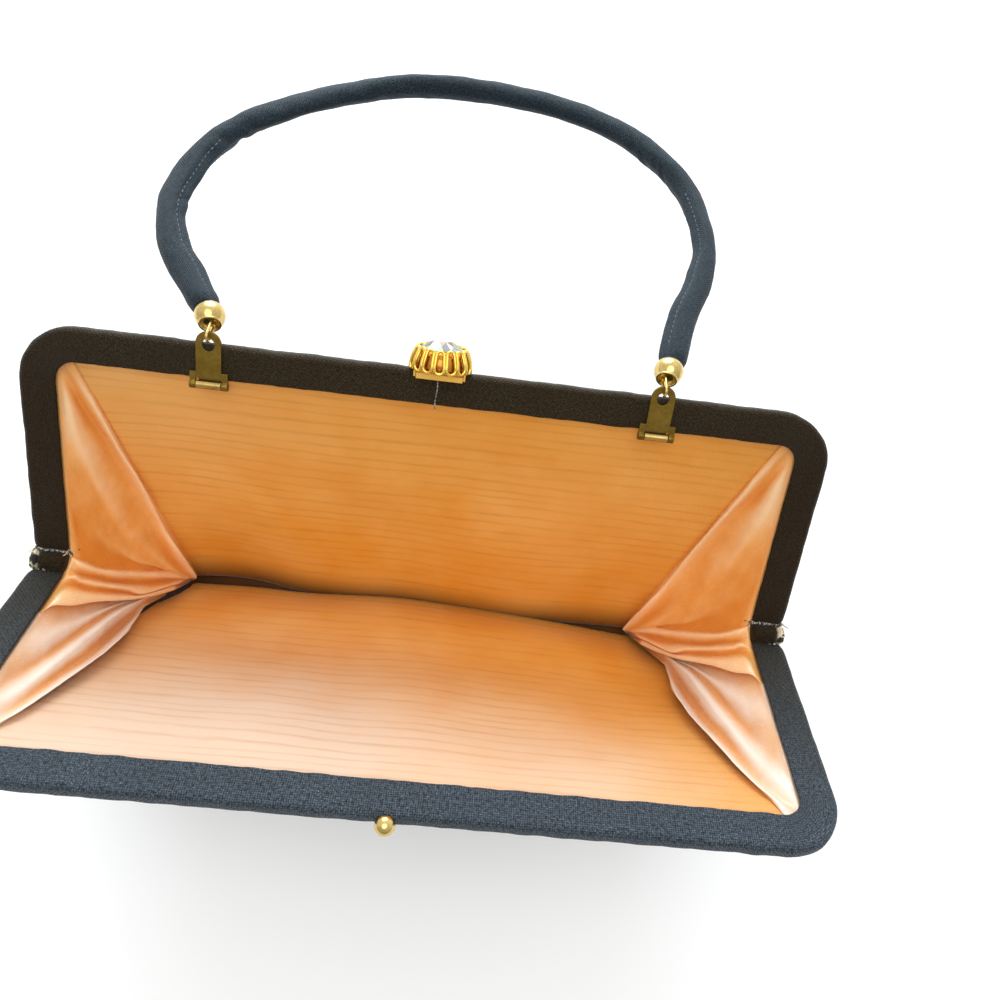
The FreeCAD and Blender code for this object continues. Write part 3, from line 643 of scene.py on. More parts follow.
def coverProfile(width, look):
    # closed section of a covered bar as (distance from the outer edge, y)
    low, high = purse["halfGap"], barBack
    r, lip = look["edgeRadius"], look["lip"]
    deep, edge = width - look["grooveDepth"], width - lip
    face = [r + (edge - r) * t for t in np.linspace(0.1, 0.9, 7)]
    section = [(deep, low + lip), (edge, low + lip)]
    section += arcPoints((width - lip / 2, low + lip / 2), lip / 2, 90, -90)
    section += [(place, low) for place in face[::-1]]
    section += arcPoints((r, low + r), r, -90, -180)
    section += arcPoints((r, high - r), r, 180, 90)
    section += [(place, high) for place in face]
    section += arcPoints((width - lip / 2, high - lip / 2), lip / 2, 90, -90)
    section += [(edge, high - lip), (deep, high - lip)]
    return np.array(section)


def frameCover(name, side, seed, look):
    counts = (look["armRows"], look["cornerRows"], look["barRows"])
    foot = purse["armEnd"]
    outer = doorway(purse["halfWidth"], purse["frameHeight"], purse["outerRadius"], counts, foot)
    inner = doorway(armInner, barInner, purse["innerRadius"], counts, foot)
    rows = []
    for o, i in zip(outer, inner):
        width = np.linalg.norm(i - o)
        section = coverProfile(width, look)
        flat = o + (i - o) * (section[:, :1] / width)
        rows.append(np.stack([flat[:, 0], section[:, 1], flat[:, 1]], axis=-1))
    points = np.array(rows)
    # the cloth is folded over at the arms' ends, so the last rows draw in
    middle = points.mean(axis=1, keepdims=True)
    for row, share in look["foldedEnds"]:
        points[row] = middle[row] + (points[row] - middle[row]) * [share, share, 1]
    lump = softNoise(points, look["lumpSize"], seed)
    lump = lump + softNoise(points, look["fineSize"], seed + 1) * look["fineLumps"]
    away = points - middle
    away /= np.linalg.norm(away, axis=-1, keepdims=True) + 1e-9
    return roundPiece(name, openUp(points + away * (lump * look["lumps"])[..., None], side))


backCover = frameCover("backFrameCloth", 1, 11, coverLook)
frontCover = frameCover("frontFrameCloth", -1, 12, coverLook)
finishPiece(backCover, shadedBlack, "back_frame", ["back_frame_cover"])
finishPiece(frontCover, windowLitBlack, "front_frame", ["front_frame_cover"])
print("frame covers made")


# handle: padded cloth tube with a sewn edge inside the loop

# line holds (sideways, up) millimetres in the handle's own plane, measured from the tabs' holes;
# a crease is its place along the tube, width, depth, angle round the tube and reach round it
handle = {
    "line": ((71.9, 9.9), (77.0, 31.0), (84.0, 50.5), (86.4, 70.0), (80.5, 99.0), (61.0, 123.5),
             (33.0, 137.2), (0.0, 141.0), (-31.0, 136.2), (-65.0, 116.2), (-87.5, 91.5), (-95.4, 60.0),
             (-90.5, 37.0), (-80.0, 21.0), (-72.4, 9.9)),
    "shares": (0, 0.06, 0.12, 0.15, 0.22, 0.26, 0.33, 0.42, 0.50,
               0.56, 0.62, 0.68, 0.74, 0.78, 0.83, 0.885, 0.95, 1),
    "radii": (4.1, 4.3, 4.0, 3.5, 3.7, 3.7, 4.5, 4.8, 4.2,
              3.9, 4.8, 5.0, 4.2, 3.9, 4.7, 4.0, 4.7, 4.0),
    "meanRadius": 4.15, "capOffset": 1.5, "capDistance": 7.5, "capLean": 14.0, "stopAngle": 51.0, "tabY": 0.2,
    "pivotRise": 2.9, "rings": 420, "ringPoints": 40, "flange": 0.25, "endFlange": 0.75, "flangeAngle": 0.28,
    "dent": 0.42, "dentAngle": 0.66, "dentWidth": 0.16, "endFrom": 0.14, "endTo": 0.26,
    "lumps": 0.16, "fineLumps": 0.05, "lumpRadius": 9, "lumpLength": 420, "pinch": 0.14, "pinchReach": 0.005,
    "seamRuns": ((0.02, 0.22), (0.78, 0.98)), "stitchPitch": 2.3, "stitchLength": 1.3, "stitchWidth": 0.34,
    "lumpSize": 20, "fineSize": 5, "seed": 31, "creaseSlant": 0.008,
    "swell": 0.6, "swellShift": 2.2, "swellWidth": 1.6,  # beside a crease, as shares of its depth and width
    "creases": (
        (0.752, 0.0065, 0.75, 2.4, 1.0), (0.737, 0.005, 0.5, 3.0, 0.7), (0.772, 0.006, 0.5, 3.4, 0.8),
        (0.262, 0.004, 0.5, 3.0, 0.6), (0.276, 0.004, 0.45, 3.4, 0.5), (0.292, 0.004, 0.4, 2.8, 0.6),
        (0.310, 0.005, 0.4, 3.2, 0.6), (0.865, 0.005, 0.4, 3.4, 0.7), (0.600, 0.006, 0.4, 3.0, 0.8)),
}
pivotZ = purse["frameHeight"] + handle["pivotRise"]


def leanBack(points):
    # handle drawn upright on its tabs, then leant back on its stop
    p = np.asarray(points, float) - [0, handle["tabY"], pivotZ]
    turn = math.radians(handle["stopAngle"])
    y = p[..., 1] * math.cos(turn) + p[..., 2] * math.sin(turn)
    z = p[..., 2] * math.cos(turn) - p[..., 1] * math.sin(turn)
    return np.stack([p[..., 0], y + handle["tabY"], z + pivotZ], axis=-1)


def handleSurface(share, angle, look):
    # distance from the tube's middle line in its plane and across it; angle 0 is outside the loop, pi inside
    radius = np.interp(share, look["shares"], look["radii"])
    inside = turnTo(angle, math.pi)
    nearEnds = 1 - smoothStep(np.minimum(share, 1 - share), look["endFrom"], look["endTo"])
    # sewn flange on the inside of the loop, with a dent along the stitches
    extra = (look["flange"] + look["endFlange"] * nearEnds) * hump(inside, 0, look["flangeAngle"])
    extra = extra - look["dent"] * nearEnds * hump(np.abs(inside), look["dentAngle"], look["dentWidth"])
    around = np.stack([np.cos(angle) * look["lumpRadius"], np.sin(angle) * look["lumpRadius"],
                       share * look["lumpLength"]], axis=-1)
    extra = extra + look["lumps"] * softNoise(around, look["lumpSize"], look["seed"])
    extra = extra + look["fineLumps"] * softNoise(around, look["fineSize"], look["seed"] + 1)
    # folds and tucks on the bends, each with a small swell beside it
    for centre, width, depth, where, reach in look["creases"]:
        slant = centre + look["creaseSlant"] * np.sin(angle - where)
        near = hump(turnTo(angle, where), 0, reach)
        extra = extra - depth * hump(share, slant, width) * near
        beside = hump(share, slant + look["swellShift"] * width, look["swellWidth"] * width)
        extra = extra + look["swell"] * depth * beside * near
    ends = 1 - look["pinch"] * (hump(share, 0, look["pinchReach"]) + hump(share, 1, look["pinchReach"]))
    inPlane = (radius + extra) * ends
    across = (2 * look["meanRadius"] - radius + extra) * ends
    return inPlane * np.cos(angle), across * np.sin(angle)


def handlePoints(share, angle):
    # world points on the tube's surface
    line = smoothCurve(handle["line"], handle["rings"])
    tangent = np.gradient(line, axis=0)
    tangent /= np.linalg.norm(tangent, axis=1, keepdims=True)
    even = np.linspace(0, 1, handle["rings"])
    x, v, tx, tv = (np.interp(share, even, column) for column in (*line.T, *tangent.T))
    inPlane, across = handleSurface(share, angle, handle)
    upright = np.stack([x + tv * inPlane, handle["tabY"] + across, pivotZ + v - tx * inPlane], axis=-1)
    return openUp(leanBack(upright))


ringAngles = np.linspace(0, 2 * math.pi, handle["ringPoints"], endpoint=False)
handleCloth = roundPiece("handleCloth", handlePoints(
    *np.meshgrid(np.linspace(0, 1, handle["rings"]), ringAngles, indexing="ij")))
finishPiece(handleCloth, handleBlack, "handle", ["handle_cover", "handle_core"])


# helpers for node trees that repeat a small form

def newTree(name, values):
    # node group with one geometry in and out and named number inputs
    tree = bpy.data.node_groups.new(name, "GeometryNodeTree")
    tree.interface.new_socket("Geometry", in_out="INPUT", socket_type="NodeSocketGeometry")
    for key, value in values.items():
        kind = "NodeSocketInt" if isinstance(value, int) else "NodeSocketFloat"
        tree.interface.new_socket(key, in_out="INPUT", socket_type=kind)
    tree.interface.new_socket("Geometry", in_out="OUTPUT", socket_type="NodeSocketGeometry")
    return tree, tree.nodes.new("NodeGroupInput"), tree.nodes.new("NodeGroupOutput")


def runTree(obj, tree, values, material):
    # realises the instances, sets the material and keeps the result as plain mesh
    out = next(n for n in tree.nodes if n.bl_idname == "NodeGroupOutput")
    made = out.inputs[0].links[0].from_socket
    real = addNode(tree, "GeometryNodeRealizeInstances", {"Geometry": made})
    coloured = addNode(tree, "GeometryNodeSetMaterial", {"Geometry": real.outputs[0], "Material": material})
    tree.links.new(coloured.outputs[0], out.inputs[0])
    modifier = obj.modifiers.new(tree.name, "NODES")
    modifier.node_group = tree
    for item in tree.interface.items_tree:
        if item.item_type == "SOCKET" and item.in_out == "INPUT" and item.name in values:
            modifier[item.identifier] = values[item.name]
    settle(obj)
    smoothShade(obj.data)
    return obj


def lineObject(name, lines):
    # edges along each line of points, for a node tree to sew or loop along
    verts = []
    edges = []
    for line in lines:
        start = len(verts)
        verts.extend(tuple(p) for p in line)
        edges.extend((start + i, start + i + 1) for i in range(len(line) - 1))
    mesh = bpy.data.meshes.new(name)
    mesh.from_pydata(verts, edges, [])
    return addObject(name, mesh)


def curveOf(tree, inside):
    return addNode(tree, "GeometryNodeMeshToCurve", {"Mesh": inside.outputs["Geometry"]}).outputs[0]


def pointsAlong(tree, inside):
    # evenly spaced points along the given lines
    spacing = {"Curve": curveOf(tree, inside), "Length": inside.outputs["Pitch"]}
    return addNode(tree, "GeometryNodeCurveToPoints", spacing, mode="LENGTH")


def roundWire(tree, curve, radius, sides, caps):
    section = addNode(tree, "GeometryNodeCurvePrimitiveCircle", {"Resolution": sides, "Radius": radius})
    return addNode(tree, "GeometryNodeCurveToMesh", {
        "Curve": curve, "Profile Curve": section.outputs[0], "Fill Caps": caps}).outputs[0]


def stitchTree(name, values):
    tree, inside, outside = newTree(name, values)
    points = pointsAlong(tree, inside)
    bead = addNode(tree, "GeometryNodeMeshUVSphere", {"Segments": 10, "Rings": 8, "Radius": 0.5})
    size = addNode(tree, "ShaderNodeCombineXYZ", {
        0: inside.outputs["Width"], 1: inside.outputs["Width"], 2: inside.outputs["Length"]})
    sewn = addNode(tree, "GeometryNodeInstanceOnPoints", {
        "Points": points.outputs["Points"], "Instance": bead.outputs["Mesh"],
        "Rotation": points.outputs["Rotation"], "Scale": size.outputs[0]})
    tree.links.new(sewn.outputs[0], outside.inputs[0])
    return tree


stitchValues = {"Pitch": handle["stitchPitch"] * mm, "Length": handle["stitchLength"] * mm,
                "Width": handle["stitchWidth"] * mm}
seamLines = [handlePoints(np.linspace(low, high, 160), np.full(160, math.pi + side * handle["dentAngle"]))
             for low, high in handle["seamRuns"] for side in (-1, 1)]
handleStitches = lineObject("handleStitches", seamLines)
runTree(handleStitches, stitchTree("sewStitches", stitchValues), stitchValues, stitchThread)
finishPiece(handleStitches, stitchThread, "handle")
print("handle made")


# bead caps: hollow eggs with a bright turned rim, as (radius, height) from the mouth to the crown

capOutline = [
    (0, -2.0), (1.6, -2.05), (2.3, -2.4), (2.62, -3.0), (2.8, -3.55), (3.0, -3.72), (3.26, -3.7),
    (3.38, -3.52), (3.3, -3.3), (3.34, -3.1), (3.62, -2.7), (4.02, -2.1), (4.34, -1.3), (4.52, -0.5),
    (4.56, 0.3), (4.46, 1.1), (4.2, 1.95), (3.75, 2.75), (3.1, 3.45), (2.25, 3.95), (1.15, 4.28), (0, 4.38),
]
for side, nodeName in ((1, "handle_cap_right"), (-1, "handle_cap_left")):
    lean = math.radians(handle["capLean"])
    sideways = side * (purse["tabSpacing"] / 2 + handle["capOffset"])
    centre = np.array([sideways, handle["tabY"], pivotZ + handle["capDistance"]])
    ends = openUp(leanBack(np.array([centre, centre + [side * math.sin(lean), 0, math.cos(lean)]])))
    cap = lathe(nodeName.replace("handle_cap", "beadCap"), capOutline, ends[0], ends[1] - ends[0])
    finishPiece(cap, capGold, "handle", [nodeName])
print("bead caps made")


# clasp: a ring of gold wire loops round a faceted stone, on a folded copper lip

clasp = {
    "loops": 16, "footRadius": 9.25, "topRadius": 7.35, "height": 6.5, "halfWidth": 1.42, "wire": 0.5,
    "topShare": 0.8, "belly": 0.45, "foot": 78.2, "y": 2.2,
    "cupFootIn": 0.55, "cupTopIn": 0.7, "cupDrop": 0.5,
    "stoneRadius": 6.5, "stoneGirdle": 83.5, "stoneHeight": 3.3, "stonePoint": 0.12, "stoneSeed": 5,
    # rings of the stone's corners: share of its radius, share of its height, number, turn
    "stoneRings": ((0.44, 1, 8, 0.5), (0.74, 0.66, 8, 0.0), (1, 0.28, 16, 0.25), (1, 0.12, 16, 0.25)),
    # painted reflections: tints, one picked at random for each facet
    "tints": ((0.36, 0.42, 0.44), (0.10, 0.30, 0.34), (0.42, 0.35, 0.09), (0.22, 0.22, 0.20),
              (0.04, 0.035, 0.025), (0.52, 0.52, 0.48), (0.16, 0.08, 0.02), (0.30, 0.36, 0.38)),
    "lipHalf": 7.2, "lipLow": 74.9, "lipHigh": 76.8, "lipFront": -0.3, "sheet": 0.5, "edge": 0.2,
    "lipLap": 0.22, "lipInset": 0.05, "lipJoin": (-0.6, 0.5), "neckLap": 0.4, "plateBack": 0.7,
    "earGap": 0.05, "earWidth": 0.7, "earRise": 0.6, "earBack": 2.2, "earLap": 0.25,
}


def loopTree(name, values):
    # one loop's wire set round a ring
    tree, inside, outside = newTree(name, values)
    wire = roundWire(tree, curveOf(tree, inside), inside.outputs["Wire"], 10, False)
    points = addNode(tree, "GeometryNodePoints", {"Count": inside.outputs["Loops"]})
    turn = calc(tree, "DIVIDE", 2 * math.pi, inside.outputs["Loops"])
    angle = calc(tree, "MULTIPLY", addNode(tree, "GeometryNodeInputIndex").outputs[0], turn)
    place = addNode(tree, "ShaderNodeCombineXYZ", {
        0: calc(tree, "MULTIPLY", calc(tree, "COSINE", angle), inside.outputs["Ring"]),
        1: calc(tree, "MULTIPLY", calc(tree, "SINE", angle), inside.outputs["Ring"])})
    placed = addNode(tree, "GeometryNodeSetPosition", {
        "Geometry": points.outputs[0], "Position": place.outputs[0]})
    facing = addNode(tree, "ShaderNodeCombineXYZ", {2: calc(tree, "SUBTRACT", angle, math.pi / 2)})
    ring = addNode(tree, "GeometryNodeInstanceOnPoints", {
        "Points": placed.outputs[0], "Instance": wire, "Rotation": facing.outputs[0]})
    tree.links.new(ring.outputs[0], outside.inputs[0])
    return tree


def crownLoops(look):
    # a loop with round ends that leans in with the crown's wall, drawn facing +Y
    height = look["height"]
    lean = (look["footRadius"] - look["topRadius"]) / height
    low, high = look["halfWidth"], look["topShare"] * look["halfWidth"]
    line = arcPoints((0, low), low, -180, 0, 13) + arcPoints((0, height - high), high, 0, 180, 9)
    line = resample(np.array(line + line[:1]), 60)
    belly = look["belly"] * np.sin(math.pi * line[:, 1] / height)
    path = np.stack([line[:, 0], belly - lean * line[:, 1], line[:, 1]], axis=-1)
    obj = lineObject("crownLoops", [path])
    values = {"Loops": look["loops"], "Ring": look["footRadius"], "Wire": look["wire"]}
    runTree(obj, loopTree("crownRing", values), values, goldMetal)
    obj.data.transform(Matrix.Translation((0, look["y"], look["foot"])))
    tidyMesh(obj)
    return toWorld(obj)


def claspCup(look):
    # thin hollow wall behind the loops that holds the stone; its deeper gold also stands for painted shade
    # behind the loops
    r, t = look["footRadius"] - look["cupFootIn"], look["topRadius"] - look["cupTopIn"]
    h = look["height"] - look["cupDrop"]
    waist = 0.5 * (r + t)
    outline = [(r, 0.45), (waist + 0.2, 0.5 * h), (t, h), (t - 0.5, h + 0.05), (t - 0.9, h - 0.6),
               (t - 0.4, h - 1.4), (waist - 0.15, 0.5 * h), (r - 0.3, 0.4), (r, 0.45)]
    axis = openUp(np.array([[0, look["y"], look["foot"]], [0, look["y"], look["foot"] + 1]]))
    return lathe("crownCup", outline, axis[0], axis[1] - axis[0])


def claspStone(look):
    # brilliant cut: table, star and kite facets above the girdle, a shallow point below
    r, top, girdle = look["stoneRadius"], look["stoneHeight"], look["stoneGirdle"]
    work = bmesh.new()
    for wide, tall, count, turn in look["stoneRings"]:
        radius = wide * r
        for k in range(count):
            angle = 2 * math.pi * (k + turn) / count
            x, y = radius * math.cos(angle), look["y"] + radius * math.sin(angle)
            work.verts.new((x, y, girdle + tall * top))
    work.verts.new((0, look["y"], girdle - look["stonePoint"] * top))
    bmesh.ops.convex_hull(work, input=work.verts)
    bmesh.ops.dissolve_limit(work, angle_limit=0.02, verts=work.verts, edges=work.edges)
    obj = closeWork(work, "stone")
    rng = np.random.RandomState(look["stoneSeed"])
    layer = obj.data.color_attributes.new("facetReflection", "FLOAT_COLOR", "CORNER")
    for polygon in obj.data.polygons:
        tint = look["tints"][rng.randint(len(look["tints"]))]
        for corner in polygon.loop_indices:
            layer.data[corner].color = (*tint, 1)
    return toWorld(obj)


finishPiece(crownLoops(clasp), goldMetal, "clasp_rocker", ["clasp_crown"])
finishPiece(claspCup(clasp), cupGold, "clasp_rocker")
finishPiece(claspStone(clasp), crystal, "clasp_rocker", ["clasp_stone"])


def breakEdges(work, edges, width, segments):
    bmesh.ops.bevel(work, geom=edges, offset=width, segments=segments, profile=0.6, affect="EDGES",
                    clamp_overlap=True)


brokenEdges = {"tab": 0.16, "barrel": 0.12, "flatAngle": 0.03, "sharpAngle": 0.6}


def bevelledCopy(nodeName, name, width, material, body):
    # the CAD piece with its sharp edges broken, so that they catch the light
    work = bmesh.new()
    work.from_mesh(nodes[nodeName].data)
    bmesh.ops.remove_doubles(work, verts=work.verts, dist=0.001 * mm)
    flat, sharp = brokenEdges["flatAngle"], brokenEdges["sharpAngle"]
    bmesh.ops.dissolve_limit(work, angle_limit=flat, verts=work.verts, edges=work.edges)
    edges = [e for e in work.edges if len(e.link_faces) == 2 and e.calc_face_angle(0) > sharp]
    breakEdges(work, edges, width * mm, 2)
    bmesh.ops.recalc_face_normals(work, faces=work.faces)
    return finishPiece(evenShade(closeWork(work, name)), material, body, [nodeName])


for word in ("left", "right"):
    bevelledCopy("tab_" + word, "tab" + word.title(), brokenEdges["tab"], agedBrass,
                 "handle_tabs")
    bevelledCopy("tab_bracket_" + word, "tabBarrel" + word.title(), brokenEdges["barrel"], barrelBrass,
                 "back_frame")


def claspSaddle(look):
    # folded sheet on the bar's top edge: plate, neck, a lip in two overlapping halves, and small ears
    half, sheet, front, low, high, inset = (
        look[key] for key in ("lipHalf", "sheet", "lipFront", "lipLow", "lipHigh", "lipInset"))
    top, back = purse["frameHeight"], purse["halfGap"]
    face = back - sheet
    blocks = [
        ((-half, face, top), (half, barBack + look["plateBack"], top + sheet)),
        ((-half, face, high - look["neckLap"]), (half, back, top + sheet)),
        ((-half, front, low), (look["lipJoin"][1], back, high)),
        ((look["lipJoin"][0], front - look["lipLap"], low + inset), (half, back, high - inset)),
    ]
    for hand in (-1, 1):
        start = half + look["earGap"]
        ends = sorted((hand * start, hand * (start + look["earWidth"])))
        blocks.append(((ends[0], front - look["earLap"], low + look["earRise"]),
                       (ends[1], look["earBack"], top + sheet)))
    work = bmesh.new()
    for start, end in np.array(blocks):
        place = Matrix.Translation((start + end) / 2) @ Matrix.Diagonal((*(end - start), 1))
        made = bmesh.ops.create_cube(work, size=1, matrix=place)
        breakEdges(work, list({edge for vert in made["verts"] for edge in vert.link_edges}), look["edge"], 3)
    return evenShade(toWorld(closeWork(work, "claspLip")))


finishPiece(claspSaddle(clasp), copperSheet, "back_frame", ["clasp_saddle"])

thread = {
    "top": 75.2, "length": 9.2, "x": -0.5, "y": 0.42, "twist": 26.0, "spread": 0.13, "radius": 0.1,
    "drift": 0.1, "sway": 0.2, "swayTurn": 6, "bow": 0.12, "bowTurn": 9,
}


def looseThread(look):
    # two twisted strands that hang from under the lip over the bar's face
    t = np.linspace(0, 1, 60)
    x = look["x"] + look["drift"] * t + look["sway"] * np.sin(look["swayTurn"] * t)
    y = look["y"] - look["bow"] * np.sin(look["bowTurn"] * t)
    middle = np.stack([x, y, look["top"] - look["length"] * t], axis=-1)
    strands = []
    for phase in (0, math.pi):
        twist = look["twist"] * t + phase
        strands.append(middle + look["spread"] * np.stack([np.cos(twist), np.sin(twist), 0 * t], axis=-1))
    return lineObject("looseThread", strands)


def wireTree(name, values):
    tree, inside, outside = newTree(name, values)
    wire = roundWire(tree, curveOf(tree, inside), inside.outputs["Radius"], 8, True)
    tree.links.new(wire, outside.inputs[0])
    return tree


threadObject = looseThread(thread)
threadValues = {"Radius": thread["radius"]}
runTree(threadObject, wireTree("twistThread", threadValues), threadValues, greyThread)
finishPiece(toWorld(threadObject), greyThread, "back_frame")
print("clasp and tabs made")


# worn cloth at the hinges: a ragged knuckle on each arm's end and loose fibres

worn = {
    "tongue": 1.7, "tongueAngle": 0.9, "tongueWidth": 0.4, "radius": 3.35, "mostRadius": 3.52,
    "endShare": 0.80, "endRound": 0.7, "inner": 115.9, "split": 124.4, "halfSplit": 0.35, "outer": 126.8,
    "lumps": ((0.14, 2.2), (0.07, 0.9), (0.12, 1.3)),  # height and size, the last along the hinge
    "endStep": 0.15, "lumpRadius": 3.4, "frayIn": 0.3, "frayBack": 0.4, "frayLift": 0.1,
    "pitch": 0.42, "length": 2.2, "fibre": 0.06, "lean": (1.1, 1.1, 3.1), "shortest": 0.4, "longest": 1.25,
}


def knuckle(name, low, high, side, seed):
    # short cloth roll round the hinge ear, with rounded, uneven ends
    step = worn["endStep"]
    places = np.concatenate([[low], np.linspace(low + step, high - step, 20), [high]])
    angles = np.linspace(0, 2 * math.pi, 48, endpoint=False)
    x, angle = np.meshgrid(places, angles, indexing="ij")
    body = smoothStep(np.minimum(x - low, high - x), 0, worn["endRound"])
    spots = np.stack([x, np.cos(angle) * worn["lumpRadius"], np.sin(angle) * worn["lumpRadius"]], axis=-1)
    big, fine, along = (height * softNoise(spots, size, seed + k)
                        for k, (height, size) in enumerate(worn["lumps"]))
    r = worn["radius"] * (worn["endShare"] + (1 - worn["endShare"]) * body)
    r = np.minimum(r + big + fine, worn["mostRadius"])
    r = r + worn["tongue"] * hump(turnTo(angle, worn["tongueAngle"]), 0, worn["tongueWidth"]) * body
    roll = np.stack([x + along, r * np.cos(angle), r * np.sin(angle)], axis=-1)
    return roundPiece(name, openUp(roll, side))


def randomValue(tree, kind, low, high, seed):
    # seeded random numbers or vectors, one for each point
    node = addNode(tree, "FunctionNodeRandomValue", {"Seed": seed}, data_type=kind)
    first = 0 if kind == "FLOAT_VECTOR" else 2
    node.inputs[first].default_value = low
    node.inputs[first + 1].default_value = high
    return node.outputs[first // 2]


def frayTree(name, values):
    # bent fibres with random lean and length along the given lines
    tree, inside, outside = newTree(name, values)
    points = pointsAlong(tree, inside)
    bow = addNode(tree, "GeometryNodeCurveQuadraticBezier", {
        "Resolution": 7, "Start": (0, 0, -0.25), "Middle": (0.25, 0.1, 0.55), "End": (-0.1, 0.3, 0.9)})
    fibre = roundWire(tree, bow.outputs[0], inside.outputs["Fibre"], 5, True)
    lean = worn["lean"]
    turned = randomValue(tree, "FLOAT_VECTOR", tuple(-a for a in lean), lean, inside.outputs["Seed"])
    size = randomValue(tree, "FLOAT", worn["shortest"], worn["longest"], inside.outputs["Seed"])
    scale = calc(tree, "MULTIPLY", size, inside.outputs["Length"])
    tuft = addNode(tree, "GeometryNodeInstanceOnPoints", {
        "Points": points.outputs["Points"], "Instance": fibre, "Rotation": turned,
        "Scale": greyOf(tree, scale)})
    tree.links.new(tuft.outputs[0], outside.inputs[0])
    return tree


def armFray(name, hand, seed, material, spacing):
    # fibres along the cloth's edge at one back arm's end, pointing down past the hinge
    x = np.linspace(worn["inner"] + worn["frayIn"], worn["outer"] - worn["frayIn"], 30)
    y = np.linspace(purse["halfGap"] + worn["frayIn"], barBack - worn["frayBack"], 14)
    z = worn["frayLift"] - purse["armEnd"]
    lines = [np.column_stack([np.full(len(y), end), y, np.full(len(y), z)]) for end in (x[0], x[-1])]
    lines.append(np.column_stack([x, np.full(len(x), y[0]), np.full(len(x), z)]))
    obj = lineObject(name, lines)
    values = {"Pitch": worn["pitch"] * spacing, "Length": worn["length"], "Fibre": worn["fibre"],
              "Seed": seed}
    runTree(obj, frayTree(name + "Tree", values), values, material)
    obj.data.transform(Matrix.Diagonal((hand, 1, -1, 1)))
    toWorld(obj)
    tidyMesh(obj)
    return finishPiece(obj, material, "back_frame")


for hand, word in ((1, "Right"), (-1, "Left")):
    for side, half, low, high, cloth in (
            (-1, "front", worn["inner"], worn["split"] - worn["halfSplit"], shadedBlack),
            (1, "back", worn["split"] + worn["halfSplit"], worn["outer"], wornCloth)):
        ends = sorted((hand * low, hand * high))
        roll = knuckle(half + "Knuckle" + word, *ends, side, 200 + 10 * hand + side)
        finishPiece(roll, cloth, half + "_frame")
    armFray("backFray" + word, hand, 7 + hand, blackThread, 0.5)
    armFray("backFuzz" + word, hand, 31 + hand, creamThread, 0.7)
print("worn hinge ends made")


# lining: two flat twill panels, two gathered satin gussets and a strip at the bottom

# tips and foot lines hold millimetres as measured from the bag's middle; under is how far a panel runs
# behind the gusset's edge at places down the seam
lining = {
    "columns": 200, "rows": 100, "thickness": 0.35, "tuck": 1.5, "mouth": 0.3, "seamAngle": 78.0,
    "armFoot": 5.5, "tips": {1: (85.2, 2.4, 9.5), -1: (-93.0, 6.0, 9.5)},
    "foot": {1: ((-95, 15.5), (-70, 13.0), (-51, 7.8), (-30, 6.6), (-10, 7.4), (25, 4.8), (42, 4.4),
                 (59, 6.2), (88, 8.5)),
             -1: ((-95, 2.0), (-67, 2.8), (-50, 2.2), (-30, 3.5), (-9, 4.6), (25, 2.7), (42, 1.5),
                  (59, 0.2), (88, -3.0))},
    "footZ": {1: 3.3, -1: 8.8}, "footBlur": 9.0,
    "underPlaces": (0, 0.1, 0.3, 0.5, 0.7, 0.82, 0.92, 1),
    "under": {1: (0, 0.2, 0.5, 0.8, 1.1, 1.3, 1.5, 1.6), -1: (0, 3, 5, 7, 10, 12, 9.5, 5.5)},
    "seamBow": {1: (0, 0, 0), -1: (-2.6, -2.2, 0.6)},
    "seamFoot": {1: (0.6, 2.6, -3.0), -1: (1.6, -2.6, -1.6)},
    "sag": 1.4, "sway": 0.55, "swaySize": 60, "ripple": 0.10, "rippleSize": 14, "outward": (0, 0.863, -0.504),
    "foldRise": 3.4, "foldPlace": 0.87, "foldWidth": 0.15,
    "hem": ((0, 1.3, -0.9), (0, 2.0, -2.6), (0, 1.8, -5.6)),
    "flat": (0.234, 0.126), "stripFlat": (0.206, 0.020), "stripLeft": -99.0, "stripRight": 98.0,
    "stripZ": 4.0, "stripRise": 11.0, "stripNear": 4.0, "stripFar": 3.0,
    "stripTurn": {1: (86, 99), -1: (-100, -92)}, "stripWobble": 0.2,
}


def innerCorner(tuck, low, high, count):
    # round inside corner of the frame, right-hand side, as (x, z)
    r = purse["innerRadius"] + tuck
    turn = np.radians(np.linspace(low, high, count))
    cx, cz = armInner - purse["innerRadius"], barInner - purse["innerRadius"]
    return np.stack([cx + r * np.cos(turn), cz + r * np.sin(turn)], axis=-1)


def inGroove(edge, y, side):
    return openUp(np.stack([edge[:, 0], np.full(len(edge), y), edge[:, 1]], axis=-1), side) / mm


def barEdge(tuck, count, side):
    # edge of the cloth in the bar's groove, right corner to left corner
    bend = innerCorner(tuck, lining["seamAngle"], 90, 12)
    right = np.concatenate([bend, [[0, bend[-1, 1]]]])
    whole = resample(np.concatenate([right, right[::-1][1:] * [-1, 1]]), count)
    return inGroove(whole, purse["liningY"], side)


def armEdge(tuck, count, side):
    # edge of the cloth in the right arm's groove, corner to hinge
    bend = innerCorner(tuck, lining["seamAngle"], 0, 30)
    whole = resample(np.concatenate([bend, [[bend[-1, 0], lining["armFoot"]]]]), count)
    return inGroove(whole, purse["liningY"], side)


def smoothLine(x, pairs):
    # line through the pairs with its corners blurred away
    dense = np.linspace(-130, 130, 521)
    values = np.interp(dense, *np.array(pairs, float).T)
    kernel = hump(np.arange(-60, 61) * 0.5, 0, lining["footBlur"])
    values = np.convolve(np.pad(values, 60, mode="edge"), kernel / kernel.sum(), "valid")
    return np.interp(x, dense, values)


